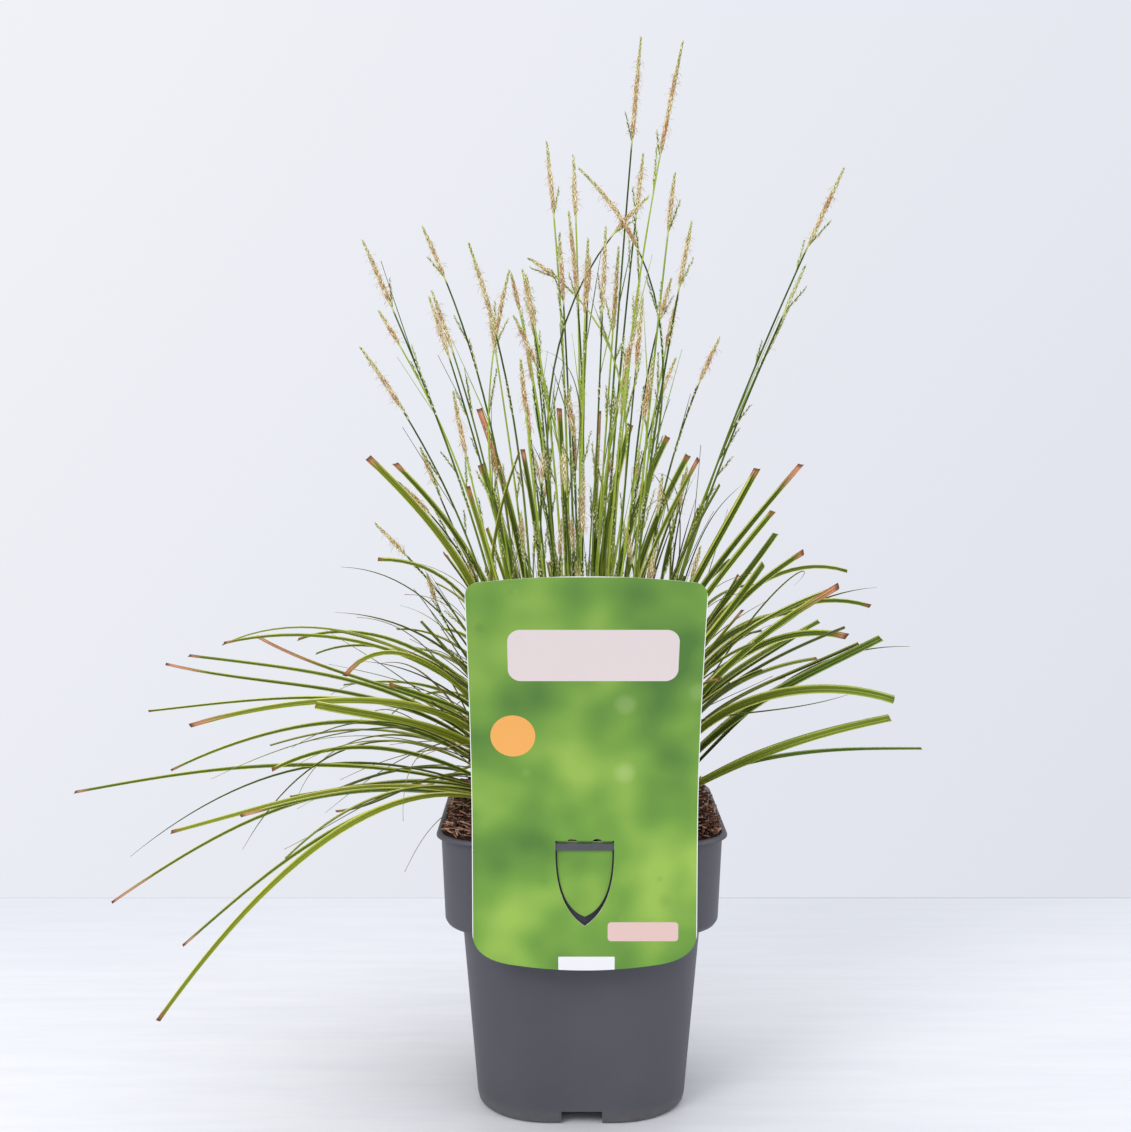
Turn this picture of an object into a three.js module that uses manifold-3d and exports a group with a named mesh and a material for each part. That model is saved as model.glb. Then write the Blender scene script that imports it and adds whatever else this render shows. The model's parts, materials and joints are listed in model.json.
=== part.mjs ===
// A variegated carex sedge in a rounded-square nursery pot, with its hanging label.
// Millimetres, +Z up. The origin is at the middle of the pot's base, on the floor. The label faces -Y.
import * as THREE from 'three';
import { mergeVertices } from 'three/addons/utils/BufferGeometryUtils.js';
import Module from 'manifold-3d';

const wasm = await Module();
wasm.setup();

// ---- driving dimensions ----
const POT_HEIGHT = 174;
const RIM_HALF = 84.5; // half the width across the rim's lip
const COLLAR_HEIGHT = 55.3; // from the rim down to the step
const COLLAR_HALF = 80.2; // at the collar's lower edge
const BODY_HALF_TOP = 70.5;
const BODY_HALF_FOOT = 63;
const CORNER_RADIUS_RIM = 28;
const CORNER_RADIUS_FOOT = 44;
const WALL = 1.3;
const LIP_DEPTH = 2.2; // height of the rim's outer lip
const LIP_GAP = 1.6; // between the lip and the wall, where the label's tongue hangs
const LIP_WALL = 1.0;
const BRIDGE_WIDTH = 44; // in front of the slot the lip hangs deeper
const BRIDGE_DEPTH = 4.4;
const UNDERSIDE = 9; // height of the hollow below the floor, inside the foot's skirt
const SKIRT_WALL = 2.4;
const HUB_RADIUS = 22; // the floor's middle also stands on the ground
const NOTCH_WIDTH = 24;
const NOTCH_HEIGHT = 8;
const CLEARANCE = 0.3; // between pieces that touch

const SOIL_EDGE = 173; // height of the soil at the wall
const SOIL_DOME = 8; // rise from the wall to the crown
const CROWN_RADIUS = 58;
const CROWN_FLOOR = 150; // the crown stands in a round pocket down to here
const CROWN_TOP = 191;
const CROWN_INNER = 20; // inside this radius stand the central stems
const CROWN_GAP = 1.2; // between the crown and the pocket's wall
const ROOT_DEPTH = 9; // how far blades and stems are rooted below the top of what bears them

const TUFTS = 14;
const LEAVES_PER_TUFT = 12;
const LEAVES_BEHIND_LABEL = 9;
const LEAF_WEDGE = 8.0; // half-angle that a tuft keeps to near the crown, in degrees
const LEAF_FAN = 10.6; // half-angle that its low leaves fan out to
const KEEL = 0.4; // depth of a blade's keel as a share of its width
const LONG_REACH = 200; // a blade that reaches further is drawn out slimmer
const BLADE_STEPS = 5;
const UPRIGHT_BLADE_STEPS = 4;
const STEM_RING_RADIUS = 29; // the slim bunches stand on this circle
const ROOT_INNER = 24; // the ring of the crown that bears blades
const ROOT_OUTER = 54;
const CENTRE_RADIUS = 15;
const CENTRE_SHEATH_TOP = 202;
const BUNCH_SHEATH_TOP = 197;
const BUNCH_RADIUS = 2;
const CENTRE_SPREAD = 0.14; // share of its reach at which a central stem is rooted
const STEM_RADIUS = 0.85;
const STEM_STEPS = 3;
const SPIKE_STEPS = 4;
const SPIKE_RADIUS = 1.7;
const SIDE_SPIKE_SLOPE = 0.32; // how far a side spike stands off, as a share of its length

const LABEL_HALF = 63.7;
const LABEL_SHIFT = 1.4; // it hangs this far off the middle of its slot
const LABEL_TOP = 331;
const LABEL_BOTTOM = 100.5;
const LABEL_THICKNESS = 0.8;
const LABEL_FRONT = -RIM_HALF - CLEARANCE - LABEL_THICKNESS; // where its face hangs below the rim
const LABEL_LEAN = 66; // how far its top leans out beyond that
const TONGUE_HALF = 15.7;
const TONGUE_TIP = 131;
const TONGUE_SHOULDER = 168.5; // its sides are straight above this height
const TONGUE_WAIST = 137; // and turn in most sharply here
const OPENING_SIDE = 0.9; // gap round the tongue at its sides
const OPENING_DROP = 4.8; // and at its point

const DEG = Math.PI / 180;
const material = (color, roughness) => new THREE.MeshStandardMaterial({ color, roughness, metalness: 0 });
const MATERIALS = {
  pot: material('#57565e', 0.55),
  soil: material('#4a2f24', 0.95),
  label: material('#7fae3c', 0.35),
  leaf: material('#6f8f35', 0.5),
  flower: material('#b99a5e', 0.7),
};

// ---- random draws, the same on every run ----
function seeded(seed) {
  let state = seed >>> 0;
  return (low, high) => {
    state = (Math.imul(state, 1664525) + 1013904223) >>> 0;
    return low + ((high - low) * state) / 4294967296;
  };
}

// ---- solids ----
function solidFrom(geometry) {
  const bare = geometry.clone();
  bare.deleteAttribute('normal');
  bare.deleteAttribute('uv');
  const merged = mergeVertices(bare, 1e-4);
  return new wasm.Manifold(new wasm.Mesh({
    numProp: 3,
    vertProperties: new Float32Array(merged.attributes.position.array),
    triVerts: new Uint32Array(merged.index.array),
  }));
}

function meshFrom(solid, name, look) {
  const { vertProperties, triVerts } = solid.getMesh();
  const geometry = new THREE.BufferGeometry();
  geometry.setAttribute('position', new THREE.BufferAttribute(vertProperties, 3));
  geometry.setIndex(new THREE.BufferAttribute(triVerts, 1));
  geometry.computeVertexNormals();
  const mesh = new THREE.Mesh(geometry, look);
  mesh.name = name;
  return mesh;
}

// A closed skin over rings of equal point counts, listed from one end to the other, with both ends capped.
// Rings turn anticlockwise when seen from the last ring's side.
function loft(rings) {
  const count = rings[0].length;
  const points = rings.flat();
  const indices = [];
  for (let ring = 0; ring + 1 < rings.length; ring++) {
    for (let i = 0; i < count; i++) {
      const a = ring * count + i;
      const b = ring * count + ((i + 1) % count);
      indices.push(a, b, b + count, a, b + count, a + count);
    }
  }
  const last = (rings.length - 1) * count;
  for (let i = 1; i + 1 < count; i++) {
    indices.push(0, i + 1, i, last, last + i, last + i + 1);
  }
  const geometry = new THREE.BufferGeometry().setFromPoints(points);
  geometry.setIndex(indices);
  return solidFrom(geometry);
}

const joined = (solids) => solids.reduce((sum, solid) => sum.add(solid));

// A square with rounded corners, level at height z.
const CORNER_STEPS = 5;
function roundedSquare(half, radius, z) {
  const ring = [];
  for (let corner = 0; corner < 4; corner++) {
    const middle = (corner * 90 + 45) * DEG;
    const cx = Math.SQRT2 * (half - radius) * Math.cos(middle);
    const cy = Math.SQRT2 * (half - radius) * Math.sin(middle);
    for (let step = 0; step <= CORNER_STEPS; step++) {
      const angle = (corner + step / CORNER_STEPS) * 90 * DEG;
      ring.push(new THREE.Vector3(cx + radius * Math.cos(angle), cy + radius * Math.sin(angle), z));
    }
  }
  return ring;
}

// The corner radius changes evenly from the foot to the rim.
function potRing(half, z, inset = 0) {
  const share = z / POT_HEIGHT;
  const radius = CORNER_RADIUS_FOOT + (CORNER_RADIUS_RIM - CORNER_RADIUS_FOOT) * share - inset;
  return roundedSquare(half, radius, z);
}

function block(width, depth, height, x, y, z) {
  return solidFrom(new THREE.BoxGeometry(width, depth, height).translate(x, y, z));
}

// ---- pot ----
const STEP_HEIGHT = POT_HEIGHT - COLLAR_HEIGHT;
const WALL_HALF_TOP = RIM_HALF - LIP_WALL - LIP_GAP; // outside of the wall behind the lip
const LEDGE = 1.4; // thickness of the rim's top

function makePot() {
  const foot = 5; // height of the rounded lower edge
  const hub = (radius, z) => roundedSquare(radius, radius, z);
  const outside = [
    hub(HUB_RADIUS, 0),
    hub(HUB_RADIUS, UNDERSIDE),
    potRing(BODY_HALF_FOOT - SKIRT_WALL, UNDERSIDE, SKIRT_WALL),
    potRing(BODY_HALF_FOOT - SKIRT_WALL - 1.6, 0, SKIRT_WALL + 1.6),
    potRing(BODY_HALF_FOOT - 2.6, 0, 2.4),
    potRing(BODY_HALF_FOOT - 0.9, 1.5, 0.9),
    potRing(BODY_HALF_FOOT, foot),
    potRing(BODY_HALF_TOP, STEP_HEIGHT - 5),
    potRing(BODY_HALF_TOP + 2, STEP_HEIGHT - 3.2),
    potRing(COLLAR_HALF - 1.5, STEP_HEIGHT - 1),
    potRing(COLLAR_HALF, STEP_HEIGHT + 2),
    potRing(WALL_HALF_TOP, POT_HEIGHT - LEDGE),
    potRing(RIM_HALF - LIP_WALL, POT_HEIGHT - LEDGE),
    potRing(RIM_HALF - LIP_WALL, POT_HEIGHT - LIP_DEPTH),
    potRing(RIM_HALF, POT_HEIGHT - LIP_DEPTH),
    potRing(RIM_HALF, POT_HEIGHT - 0.9),
    potRing(RIM_HALF - 0.9, POT_HEIGHT, 0.9),
  ];
  const inside = [
    potRing(WALL_HALF_TOP - WALL + 0.9, POT_HEIGHT),
    ...potInside(0).reverse(),
  ];
  const notches = [0, 90, 180, 270].map((turn) =>
    block(NOTCH_WIDTH, 12, 2 * NOTCH_HEIGHT, 0, -BODY_HALF_FOOT, 0).rotate([0, 0, turn]));
  const slot = block(2 * TONGUE_HALF + 4, LIP_GAP, 3 * LEDGE, 0, -(WALL_HALF_TOP + LIP_GAP / 2), POT_HEIGHT);
  const bridge = block(BRIDGE_WIDTH, LIP_WALL, BRIDGE_DEPTH - 1,
    0, -(RIM_HALF - LIP_WALL / 2), POT_HEIGHT - (BRIDGE_DEPTH + 1) / 2);
  return loft([...outside, ...inside]).add(bridge).subtract(joined(notches)).subtract(slot);
}

// Half the width outside the collar's wall at a height.
function wallHalf(z) {
  const share = (z - STEP_HEIGHT - 2) / (POT_HEIGHT - LEDGE - STEP_HEIGHT - 2);
  return THREE.MathUtils.lerp(COLLAR_HALF, WALL_HALF_TOP, share);
}

// Rings of the pot's cavity from its floor to its mouth, drawn in by a gap.
function potInside(gap) {
  const inner = (half, z) => potRing(half - WALL - gap, z, WALL + gap);
  return [
    inner(BODY_HALF_FOOT - 2, UNDERSIDE + WALL + gap),
    inner(BODY_HALF_FOOT + 0.4, UNDERSIDE + WALL + 4 + gap),
    inner(BODY_HALF_TOP, STEP_HEIGHT - 4 + gap),
    inner(BODY_HALF_TOP + 2, STEP_HEIGHT - 2 + gap),
    inner(COLLAR_HALF - 1.5, STEP_HEIGHT + 1 + gap),
    inner(COLLAR_HALF, STEP_HEIGHT + 4 + gap),
    inner(WALL_HALF_TOP, POT_HEIGHT - 1),
  ];
}

// ---- soil: fills the pot, domed, with a round pocket for the crown ----
function makeSoil() {
  const wave = (angle) => Math.sin(5 * angle + 1) + Math.sin(11 * angle) + Math.sin(17 * angle + 2);
  const lumpy = (ring, size) => ring.map((p) => p.setZ(p.z + size * wave(Math.atan2(p.y, p.x))));
  const edge = wallHalf(SOIL_EDGE) - WALL - CLEARANCE;
  const domeRing = (share, size) => {
    const half = THREE.MathUtils.lerp(edge, CROWN_RADIUS, share);
    const radius = THREE.MathUtils.lerp(CORNER_RADIUS_RIM, CROWN_RADIUS, share);
    const height = SOIL_EDGE + SOIL_DOME * Math.sin((share * Math.PI) / 2);
    return lumpy(roundedSquare(half, radius, height), size);
  };
  const rings = [
    ...potInside(CLEARANCE).slice(0, -1),
    potRing(edge, SOIL_EDGE, WALL + CLEARANCE),
    domeRing(0.2, 0.9),
    domeRing(0.5, 0.8),
    domeRing(0.8, 0.5),
    domeRing(1, 0),
    roundedSquare(CROWN_RADIUS, CROWN_RADIUS, CROWN_FLOOR),
  ];
  return loft(rings);
}

// ---- label: a bent card whose tongue hangs in the rim's slot ----
function makeLabel() {
  const rimTop = POT_HEIGHT + 1;
  const steps = 8;
  const face = [[LABEL_FRONT, LABEL_BOTTOM - 5], [LABEL_FRONT, rimTop]];
  for (let step = 1; step <= steps; step++) {
    const share = step / steps;
    const bend = share * share * (1.6 - 0.6 * share); // bends close above the rim, then runs straight
    face.push([LABEL_FRONT - LABEL_LEAN * bend, rimTop + (LABEL_TOP + 5 - rimTop) * share]);
  }
  const strip = new THREE.Shape();
  face.forEach(([y, z], i) => (i ? strip.lineTo(y, z) : strip.moveTo(y, z)));
  face.reverse().forEach(([y, z]) => strip.lineTo(y + LABEL_THICKNESS, z));
  const sheet = solidFrom(new THREE.ExtrudeGeometry(strip, { depth: 2 * LABEL_HALF + 2, bevelEnabled: false })
    .rotateX(Math.PI / 2).rotateZ(Math.PI / 2).translate(-LABEL_HALF - 1, 0, 0));

  const tongueHang = -(WALL_HALF_TOP + LIP_GAP / 2) - LABEL_THICKNESS / 2;
  const fold = new THREE.Shape();
  fold.moveTo(LABEL_FRONT, rimTop + 2.5);
  fold.lineTo(LABEL_FRONT, rimTop + 1);
  fold.lineTo(tongueHang, rimTop - 0.3);
  fold.lineTo(tongueHang, TONGUE_TIP - 5);
  fold.lineTo(tongueHang + LABEL_THICKNESS, TONGUE_TIP - 5);
  fold.lineTo(tongueHang + LABEL_THICKNESS, rimTop + 0.4);
  fold.lineTo(LABEL_FRONT + LABEL_THICKNESS, rimTop + 2.5);
  const hook = solidFrom(new THREE.ExtrudeGeometry(fold, { depth: 2 * TONGUE_HALF + 2, bevelEnabled: false })
    .rotateX(Math.PI / 2).rotateZ(Math.PI / 2).translate(-TONGUE_HALF - 1, 0, 0));

  const card = outline(cardShape());
  const openingHalf = TONGUE_HALF + OPENING_SIDE;
  const opening = outline(shieldShape(openingHalf, rimTop + 0.4, TONGUE_TIP - OPENING_DROP));
  const tongue = outline(shieldShape(TONGUE_HALF, rimTop + 5, TONGUE_TIP));
  const hanging = sheet.intersect(card).subtract(opening).add(hook.intersect(tongue));
  return hanging.translate([LABEL_SHIFT, 0, 0]);
}

// A drawing in X and Z, as a slab through the label's depth.
function outline(shape) {
  const depth = 2 * LABEL_LEAN + 20;
  return solidFrom(new THREE.ExtrudeGeometry(shape, { depth, bevelEnabled: false, curveSegments: 5 })
    .rotateX(Math.PI / 2).translate(0, LABEL_FRONT + depth / 2, 0));
}

function cardShape() {
  const corner = 10;
  const crown = 3;
  const shoulder = 22; // where the sides turn into the lower curve
  const shape = new THREE.Shape();
  shape.moveTo(-LABEL_HALF, LABEL_BOTTOM + shoulder);
  shape.quadraticCurveTo(-LABEL_HALF, LABEL_BOTTOM + 6, -LABEL_HALF + 24, LABEL_BOTTOM + 3);
  shape.quadraticCurveTo(0, LABEL_BOTTOM - 3, LABEL_HALF - 24, LABEL_BOTTOM + 3);
  shape.quadraticCurveTo(LABEL_HALF, LABEL_BOTTOM + 6, LABEL_HALF, LABEL_BOTTOM + shoulder);
  shape.lineTo(LABEL_HALF, LABEL_TOP - corner - crown);
  shape.quadraticCurveTo(LABEL_HALF, LABEL_TOP - crown, LABEL_HALF - corner, LABEL_TOP - crown);
  shape.quadraticCurveTo(0, LABEL_TOP + crown, -LABEL_HALF + corner, LABEL_TOP - crown);
  shape.quadraticCurveTo(-LABEL_HALF, LABEL_TOP - crown, -LABEL_HALF, LABEL_TOP - corner - crown);
  return shape;
}

// Straight sides that turn in to a point.
function shieldShape(half, top, tip) {
  const shape = new THREE.Shape();
  shape.moveTo(-half, top);
  shape.lineTo(-half, TONGUE_SHOULDER);
  shape.quadraticCurveTo(-half, TONGUE_WAIST, 0, tip);
  shape.quadraticCurveTo(half, TONGUE_WAIST, half, TONGUE_SHOULDER);
  shape.lineTo(half, top);
  return shape;
}

// ---- growing paths ----
const onPlan = (azimuth, radius, z) =>
  new THREE.Vector3(radius * Math.cos(azimuth * DEG), radius * Math.sin(azimuth * DEG), z);

// A curve from root to tip in one upright plane, with its slopes at both ends in degrees above level.
function growingCurve(root, tip, rise, lean) {
  const level = new THREE.Vector3(tip.x - root.x || 1e-6, tip.y - root.y, 0).normalize();
  const handle = 0.38 * root.distanceTo(tip);
  const heading = (slope) => level.clone().multiplyScalar(Math.cos(slope * DEG)).setZ(Math.sin(slope * DEG));
  const leave = root.clone().addScaledVector(heading(rise), handle);
  const arrive = tip.clone().addScaledVector(heading(lean), -handle);
  const curve = new THREE.CubicBezierCurve3(root, leave, arrive, tip);
  const side = new THREE.Vector3(-level.y, level.x, 0);
  return { curve, side, length: curve.getLength() };
}

// Place, side and upper-face direction at a share t of the path, rolled about it by an angle.
function frameAt(path, t, roll = 0) {
  const place = path.curve.getPoint(t);
  const along = path.curve.getTangent(t);
  const up = new THREE.Vector3().crossVectors(along, path.side);
  const side = path.side.clone().multiplyScalar(Math.cos(roll)).addScaledVector(up, Math.sin(roll));
  return { place, along, side, up: new THREE.Vector3().crossVectors(along, side) };
}

// A tube with a given radius for each ring and side.
function tube(path, shares, sides, radiusAt) {
  return loft(shares.map((t, ring) => {
    const { place, side, up } = frameAt(path, t);
    return Array.from({ length: sides }, (_, i) => {
      const angle = (2 * Math.PI * i) / sides;
      const radius = radiusAt(ring, i);
      return place.clone()
        .addScaledVector(side, radius * Math.cos(angle))
        .addScaledVector(up, radius * Math.sin(angle));
    });
  }));
}

const evenly = (count, from, to) =>
  Array.from({ length: count + 1 }, (_, i) => THREE.MathUtils.lerp(from, to, i / count));

// ---- leaves ----
// The blades that stand out, each as azimuth, reach from the axis, height of the tip, slope at the root,
// slope at the tip and width. A width under 3 mm is a young blade that still has its own pointed tip.
const STANDING_LEAVES = [
  [185, 305, 190, 21, -9, 3.7], [172, 292, 133, 22, -40, 2.3], [196, 246, 176, 18, -13, 5.3],
  [203, 210, 189, 16, -11, 4.8], [178, 180, 180, 18, -10, 4.2], [190, 281, 129, 18, -34, 3.7],
  [200, 242, 114, 22, -38, 4.2], [212, 268, 92, 26, -50, 4.8], [176, 257, 194, 50, -28, 4.2],
  [190, 234, 233, 75, -16, 6.1], [170, 282, 226, 58, -8, 3.3], [182, 252, 265, 58, 14, 3.9],
  [187, 235, 273, 57, 8, 4.2], [174, 203, 278, 66, 29, 3.9], [177, 221, 275, 80, -14, 3.7],
  [163, 245, 266, 80, -26, 3.0], [158, 200, 269, 82, -20, 3.5], [152, 200, 257, 82, -22, 3.0],
  [160, 172, 278, 82, 8, 3.7], [205, 150, 266, 82, -50, 3.6], [213, 130, 262, 80, 20, 4.8],
  [208, 170, 252, 65, 15, 6.1], [196, 188, 209, 39, -24, 3.7], [160, 163, 175, 22, -26, 3.2],
  [150, 225, 150, 40, -70, 2.4], [187, 128, 390, 84, 44, 6.6], [173, 115, 386, 84, 44, 5.4],
  [203, 128, 332, 78, 0, 4.2], [208, 90, 335, 78, 50, 5.0],
  [-18, 108, 384, 86, 62, 6.6], [-5, 132, 386, 84, 50, 5.2], [-26, 122, 360, 84, 50, 5.2],
  [5, 120, 343, 84, 54, 4.6], [-21, 113, 328, 84, 56, 6.6], [2, 136, 332, 74, 32, 4.8],
  [20, 184, 315, 80, -18, 3.2], [-25, 160, 318, 74, 33, 6.8], [17, 200, 305, 62, 1, 2.8],
  [9, 184, 296, 80, -18, 3.6], [24, 151, 289, 80, 3, 4.6], [-4, 161, 282, 80, -14, 5.0],
  [-8, 180, 283, 53, 28, 6.4], [-28, 196, 257, 78, -14, 6.2], [-20, 188, 242, 34, 15, 7.6],
  [-8, 205, 217, 34, 2, 3.4], [-1, 200, 275, 45, -2, 2.8],
  [128, 105, 384, 84, 60, 6.8], [131, 100, 420, 84, 60, 5.2], [124, 66, 394, 85, 70, 4.4],
  [103, 60, 420, 86, 74, 4.8], [78, 60, 418, 88, 78, 5.4], [68, 88, 410, 95, 54, 5.4],
  [50, 88, 402, 98, 50, 4.8], [46, 101, 390, 97, 50, 5.0], [-50, 100, 390, 95, 52, 5.2],
  [211, 77, 374, 85, 72, 6.0], [203, 102, 295, 78, 48, 4.6],
];

// The kinds of blade that fill a tuft: ranges of reach, tip height, slopes and width.
const LEAF_KINDS = [
  {
    fan: LEAF_WEDGE - 2.2, reach: [58, 105], height: [300, 385], rise: [82, 86], lean: [50, 72],
    width: [2.6, 4.2],
  },
  {
    fan: LEAF_FAN - 3, reach: [120, 190], height: [255, 320], rise: [74, 82], lean: [-10, 30],
    width: [3.2, 5.2],
  },
  {
    fan: LEAF_FAN - 1.6, reach: [185, 275], height: [150, 228], rise: [22, 52], lean: [-34, -8],
    width: [3.8, 5.6],
  },
];
// On the plant's right the blades hang less, and reach less far.
const RIGHT_SIDE = { reach: [95, 140], height: [262, 305], rise: [60, 80], lean: [0, 40], width: [2.6, 4] };
const RIGHT_HALF_ANGLE = 78;
const LABEL_SHADOW = 40; // half-angle about the front where blades stay upright and low behind the label

const turnTo = (angle, middle) => THREE.MathUtils.euclideanModulo(angle - middle + 180, 360) - 180;
const slopeToTip = ({ reach, height }) => (height - CROWN_TOP) / reach;

function leafList(tuft) {
  const azimuth = (tuft * 360) / TUFTS;
  const draw = seeded(1000 + 37 * tuft);
  const standing = STANDING_LEAVES.filter(([turn]) => Math.abs(turnTo(turn, azimuth)) < 180 / TUFTS)
    .map(([turn, reach, height, rise, lean, width]) => {
      const faces = Math.sign(Math.cos(turn * DEG));
      return { turn: turnTo(turn, azimuth), reach, height, rise, lean, width, faces };
    });
  const filling = [];
  const count = Math.abs(turnTo(azimuth, -90)) < LABEL_SHADOW ? LEAVES_BEHIND_LABEL : LEAVES_PER_TUFT;
  for (let i = standing.length; i < count; i++) {
    const low = i % LEAF_KINDS.length === LEAF_KINDS.length - 1;
    const onRight = low && Math.abs(turnTo(azimuth, 0)) < RIGHT_HALF_ANGLE;
    const kind = { ...LEAF_KINDS[i % LEAF_KINDS.length], ...(onRight ? RIGHT_SIDE : {}) };
    const leaf = { turn: draw(-1, 1) * kind.fan };
    for (const trait of ['reach', 'height', 'rise', 'lean', 'width']) {
      leaf[trait] = draw(...kind[trait]);
    }
    filling.push(leaf);
  }
  return [...standing, ...filling].map((leaf) => clearOfLabel(leaf, azimuth, draw))
    .sort((a, b) => slopeToTip(b) - slopeToTip(a));
}

// Gives a blade its roll and twist. In front, where the label hangs, a drawn blade stands up behind it.
function clearOfLabel(leaf, azimuth, draw) {
  const fromFront = Math.abs(turnTo(azimuth + leaf.turn, -90));
  const roll = draw(-0.5, 0.5);
  const twist = draw(-0.7, 0.7);
  // A blade that stands out turns its upper face forward, and more so on the right or if it is broad.
  const turned = leaf.faces > 0 || leaf.width > 6 ? 1.05 : 0.5;
  const set = leaf.faces ? { roll: leaf.faces * (turned + 0.5 * roll), twist: 0.4 * twist } : { roll, twist };
  if (fromFront > LABEL_SHADOW || leaf.faces) {
    return { ...leaf, ...set };
  }
  const upright = { turn: leaf.turn * 0.7, reach: draw(55, 98), height: draw(262, 318), rise: 84 };
  return { ...leaf, ...set, ...upright, lean: draw(62, 76) };
}

function blade(root, tip, { reach, rise, lean, width, roll, twist }) {
  const path = growingCurve(root, tip, rise, lean);
  const pointed = width < 3;
  const cutWidth = reach > LONG_REACH ? 0.6 : 0.8;
  const endWidth = pointed ? 0.3 : cutWidth;
  const steps = tip.z > LABEL_TOP ? UPRIGHT_BLADE_STEPS : BLADE_STEPS;
  return loft(evenly(steps, 0, 1).map((t) => {
    const { place, side, up } = frameAt(path, t, roll + twist * t);
    const share = t < 0.4 ? 0.55 + 1.125 * t : THREE.MathUtils.lerp(1, endWidth, (t - 0.4) / 0.6);
    const half = (width * share) / 2;
    const keel = Math.max(1.2, KEEL * width * share);
    return [
      place.clone().addScaledVector(side, half),
      place.clone().addScaledVector(side, -half),
      place.clone().addScaledVector(up, -keel),
    ];
  }));
}

function makeTuft(tuft) {
  const azimuth = (tuft * 360) / TUFTS;
  const outer = CROWN_RADIUS - CROWN_GAP;
  const wedge = new THREE.Shape([
    [CROWN_INNER, -1], [outer, -1], [outer + 0.2, 0], [outer, 1], [CROWN_INNER, 1],
  ].map(([radius, edge]) => {
    const angle = (azimuth + edge * LEAF_WEDGE) * DEG;
    const kept = edge ? radius : radius - 0.3;
    return new THREE.Vector2(kept * Math.cos(angle), kept * Math.sin(angle));
  }));
  const depth = CROWN_TOP - CROWN_FLOOR - CLEARANCE;
  const crown = solidFrom(new THREE.ExtrudeGeometry(wedge, { depth, bevelEnabled: false })
    .translate(0, 0, CROWN_FLOOR + CLEARANCE));
  // The steepest blades are rooted nearest the axis and the lowest furthest out, so few of them cross.
  const leaves = leafList(tuft);
  const blades = leaves.map((leaf, i) => {
    const place = THREE.MathUtils.lerp(ROOT_INNER, ROOT_OUTER, i / (leaves.length - 1));
    const root = onPlan(azimuth + 0.5 * leaf.turn, place, CROWN_TOP - ROOT_DEPTH);
    return blade(root, onPlan(azimuth + leaf.turn, leaf.reach, leaf.height), leaf);
  });
  return joined([crown, ...blades]);
}

// ---- flower stems ----
// The stems that stand out, each as azimuth, reach, height of the tip, slope at the root, slope at the tip
// and length of the spike at its end.
const CENTRE_STEMS = [
  [10, 36, 640, 87, 85, 57], [-5, 60, 635, 87, 78, 63], [40, 50, 575, 85, 81, 35],
  [150, 24, 579, 87, 83, 40], [100, 27, 573, 88, 76, 36], [130, 12, 538, 89, 79, 52],
  [200, 14, 522, 89, 86, 36], [300, 28, 525, 87, 86, 45], [20, 24, 516, 88, 86, 47],
  [170, 43, 500, 85, 76, 21], [215, 41, 496, 85, 75, 27], [190, 41, 474, 84, 62, 29],
  [160, 36, 462, 85, 80, 25], [80, 32, 512, 87, 70, 22], [330, 38, 470, 86, 72, 30],
  [250, 22, 430, 86, 76, 24], [60, 22, 402, 87, 78, 24], [188, 2, 562, 97, 42, 62],
];
const SIDE_STEMS = [
  [166, 100, 530, 84, 64, 31], [194, 131, 516, 82, 66, 39], [170, 126, 479, 80, 57, 23],
  [142, 124, 492, 81, 66, 39], [191, 90, 488, 84, 70, 33], [220, 84, 512, 84, 66, 49],
  [141, 74, 481, 85, 78, 26], [195, 133, 454, 80, 54, 40], [-37, 78, 524, 86, 77, 34],
  [38, 76, 451, 84, 60, 28], [13, 87, 462, 84, 63, 27], [-13, 155, 557, 80, 65, 45],
  [218, 93, 428, 82, 78, 34], [166, 132, 347, 76, 42, 25], [143, 130, 394, 80, 64, 25],
  [168, 116, 374, 80, 40, 27], [-39, 68, 552, 86, 82, 30], [12, 60, 487, 86, 76, 30],
  [-13, 133, 501, 80, 66, 26], [-12, 124, 478, 82, 64, 30],
];
const STEMS_PER_BUNCH = 2;

// Rows of a list near an azimuth, filled up with drawn stems.
function sideStems(azimuth, draw) {
  const stems = SIDE_STEMS.filter(([turn]) => Math.abs(turnTo(turn, azimuth)) < 180 / TUFTS);
  while (stems.length < STEMS_PER_BUNCH) {
    const reach = draw(52, 105);
    stems.push([azimuth + draw(-4, 4), reach, draw(385, 520), draw(82, 85), draw(62, 80), draw(22, 42)]);
  }
  return stems;
}

// A smaller spike that stands off a stem at one of its joints, root sunk in the stem.
function sideSpike(path, t, draw) {
  const { place, along, up } = frameAt(path, t);
  const away = draw(0, 1) < 0.5 ? -1 : 1;
  const length = draw(13, 22);
  const slant = away * length * SIDE_SPIKE_SLOPE;
  const tip = place.clone().addScaledVector(along, length).addScaledVector(up, slant);
  const own = { curve: new THREE.LineCurve3(place, tip), side: path.side };
  return tube(own, [0, 0.35, 0.7, 1], 3, (ring) => [0.3, 1.5, 1.2, 0.2][ring]);
}

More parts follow.
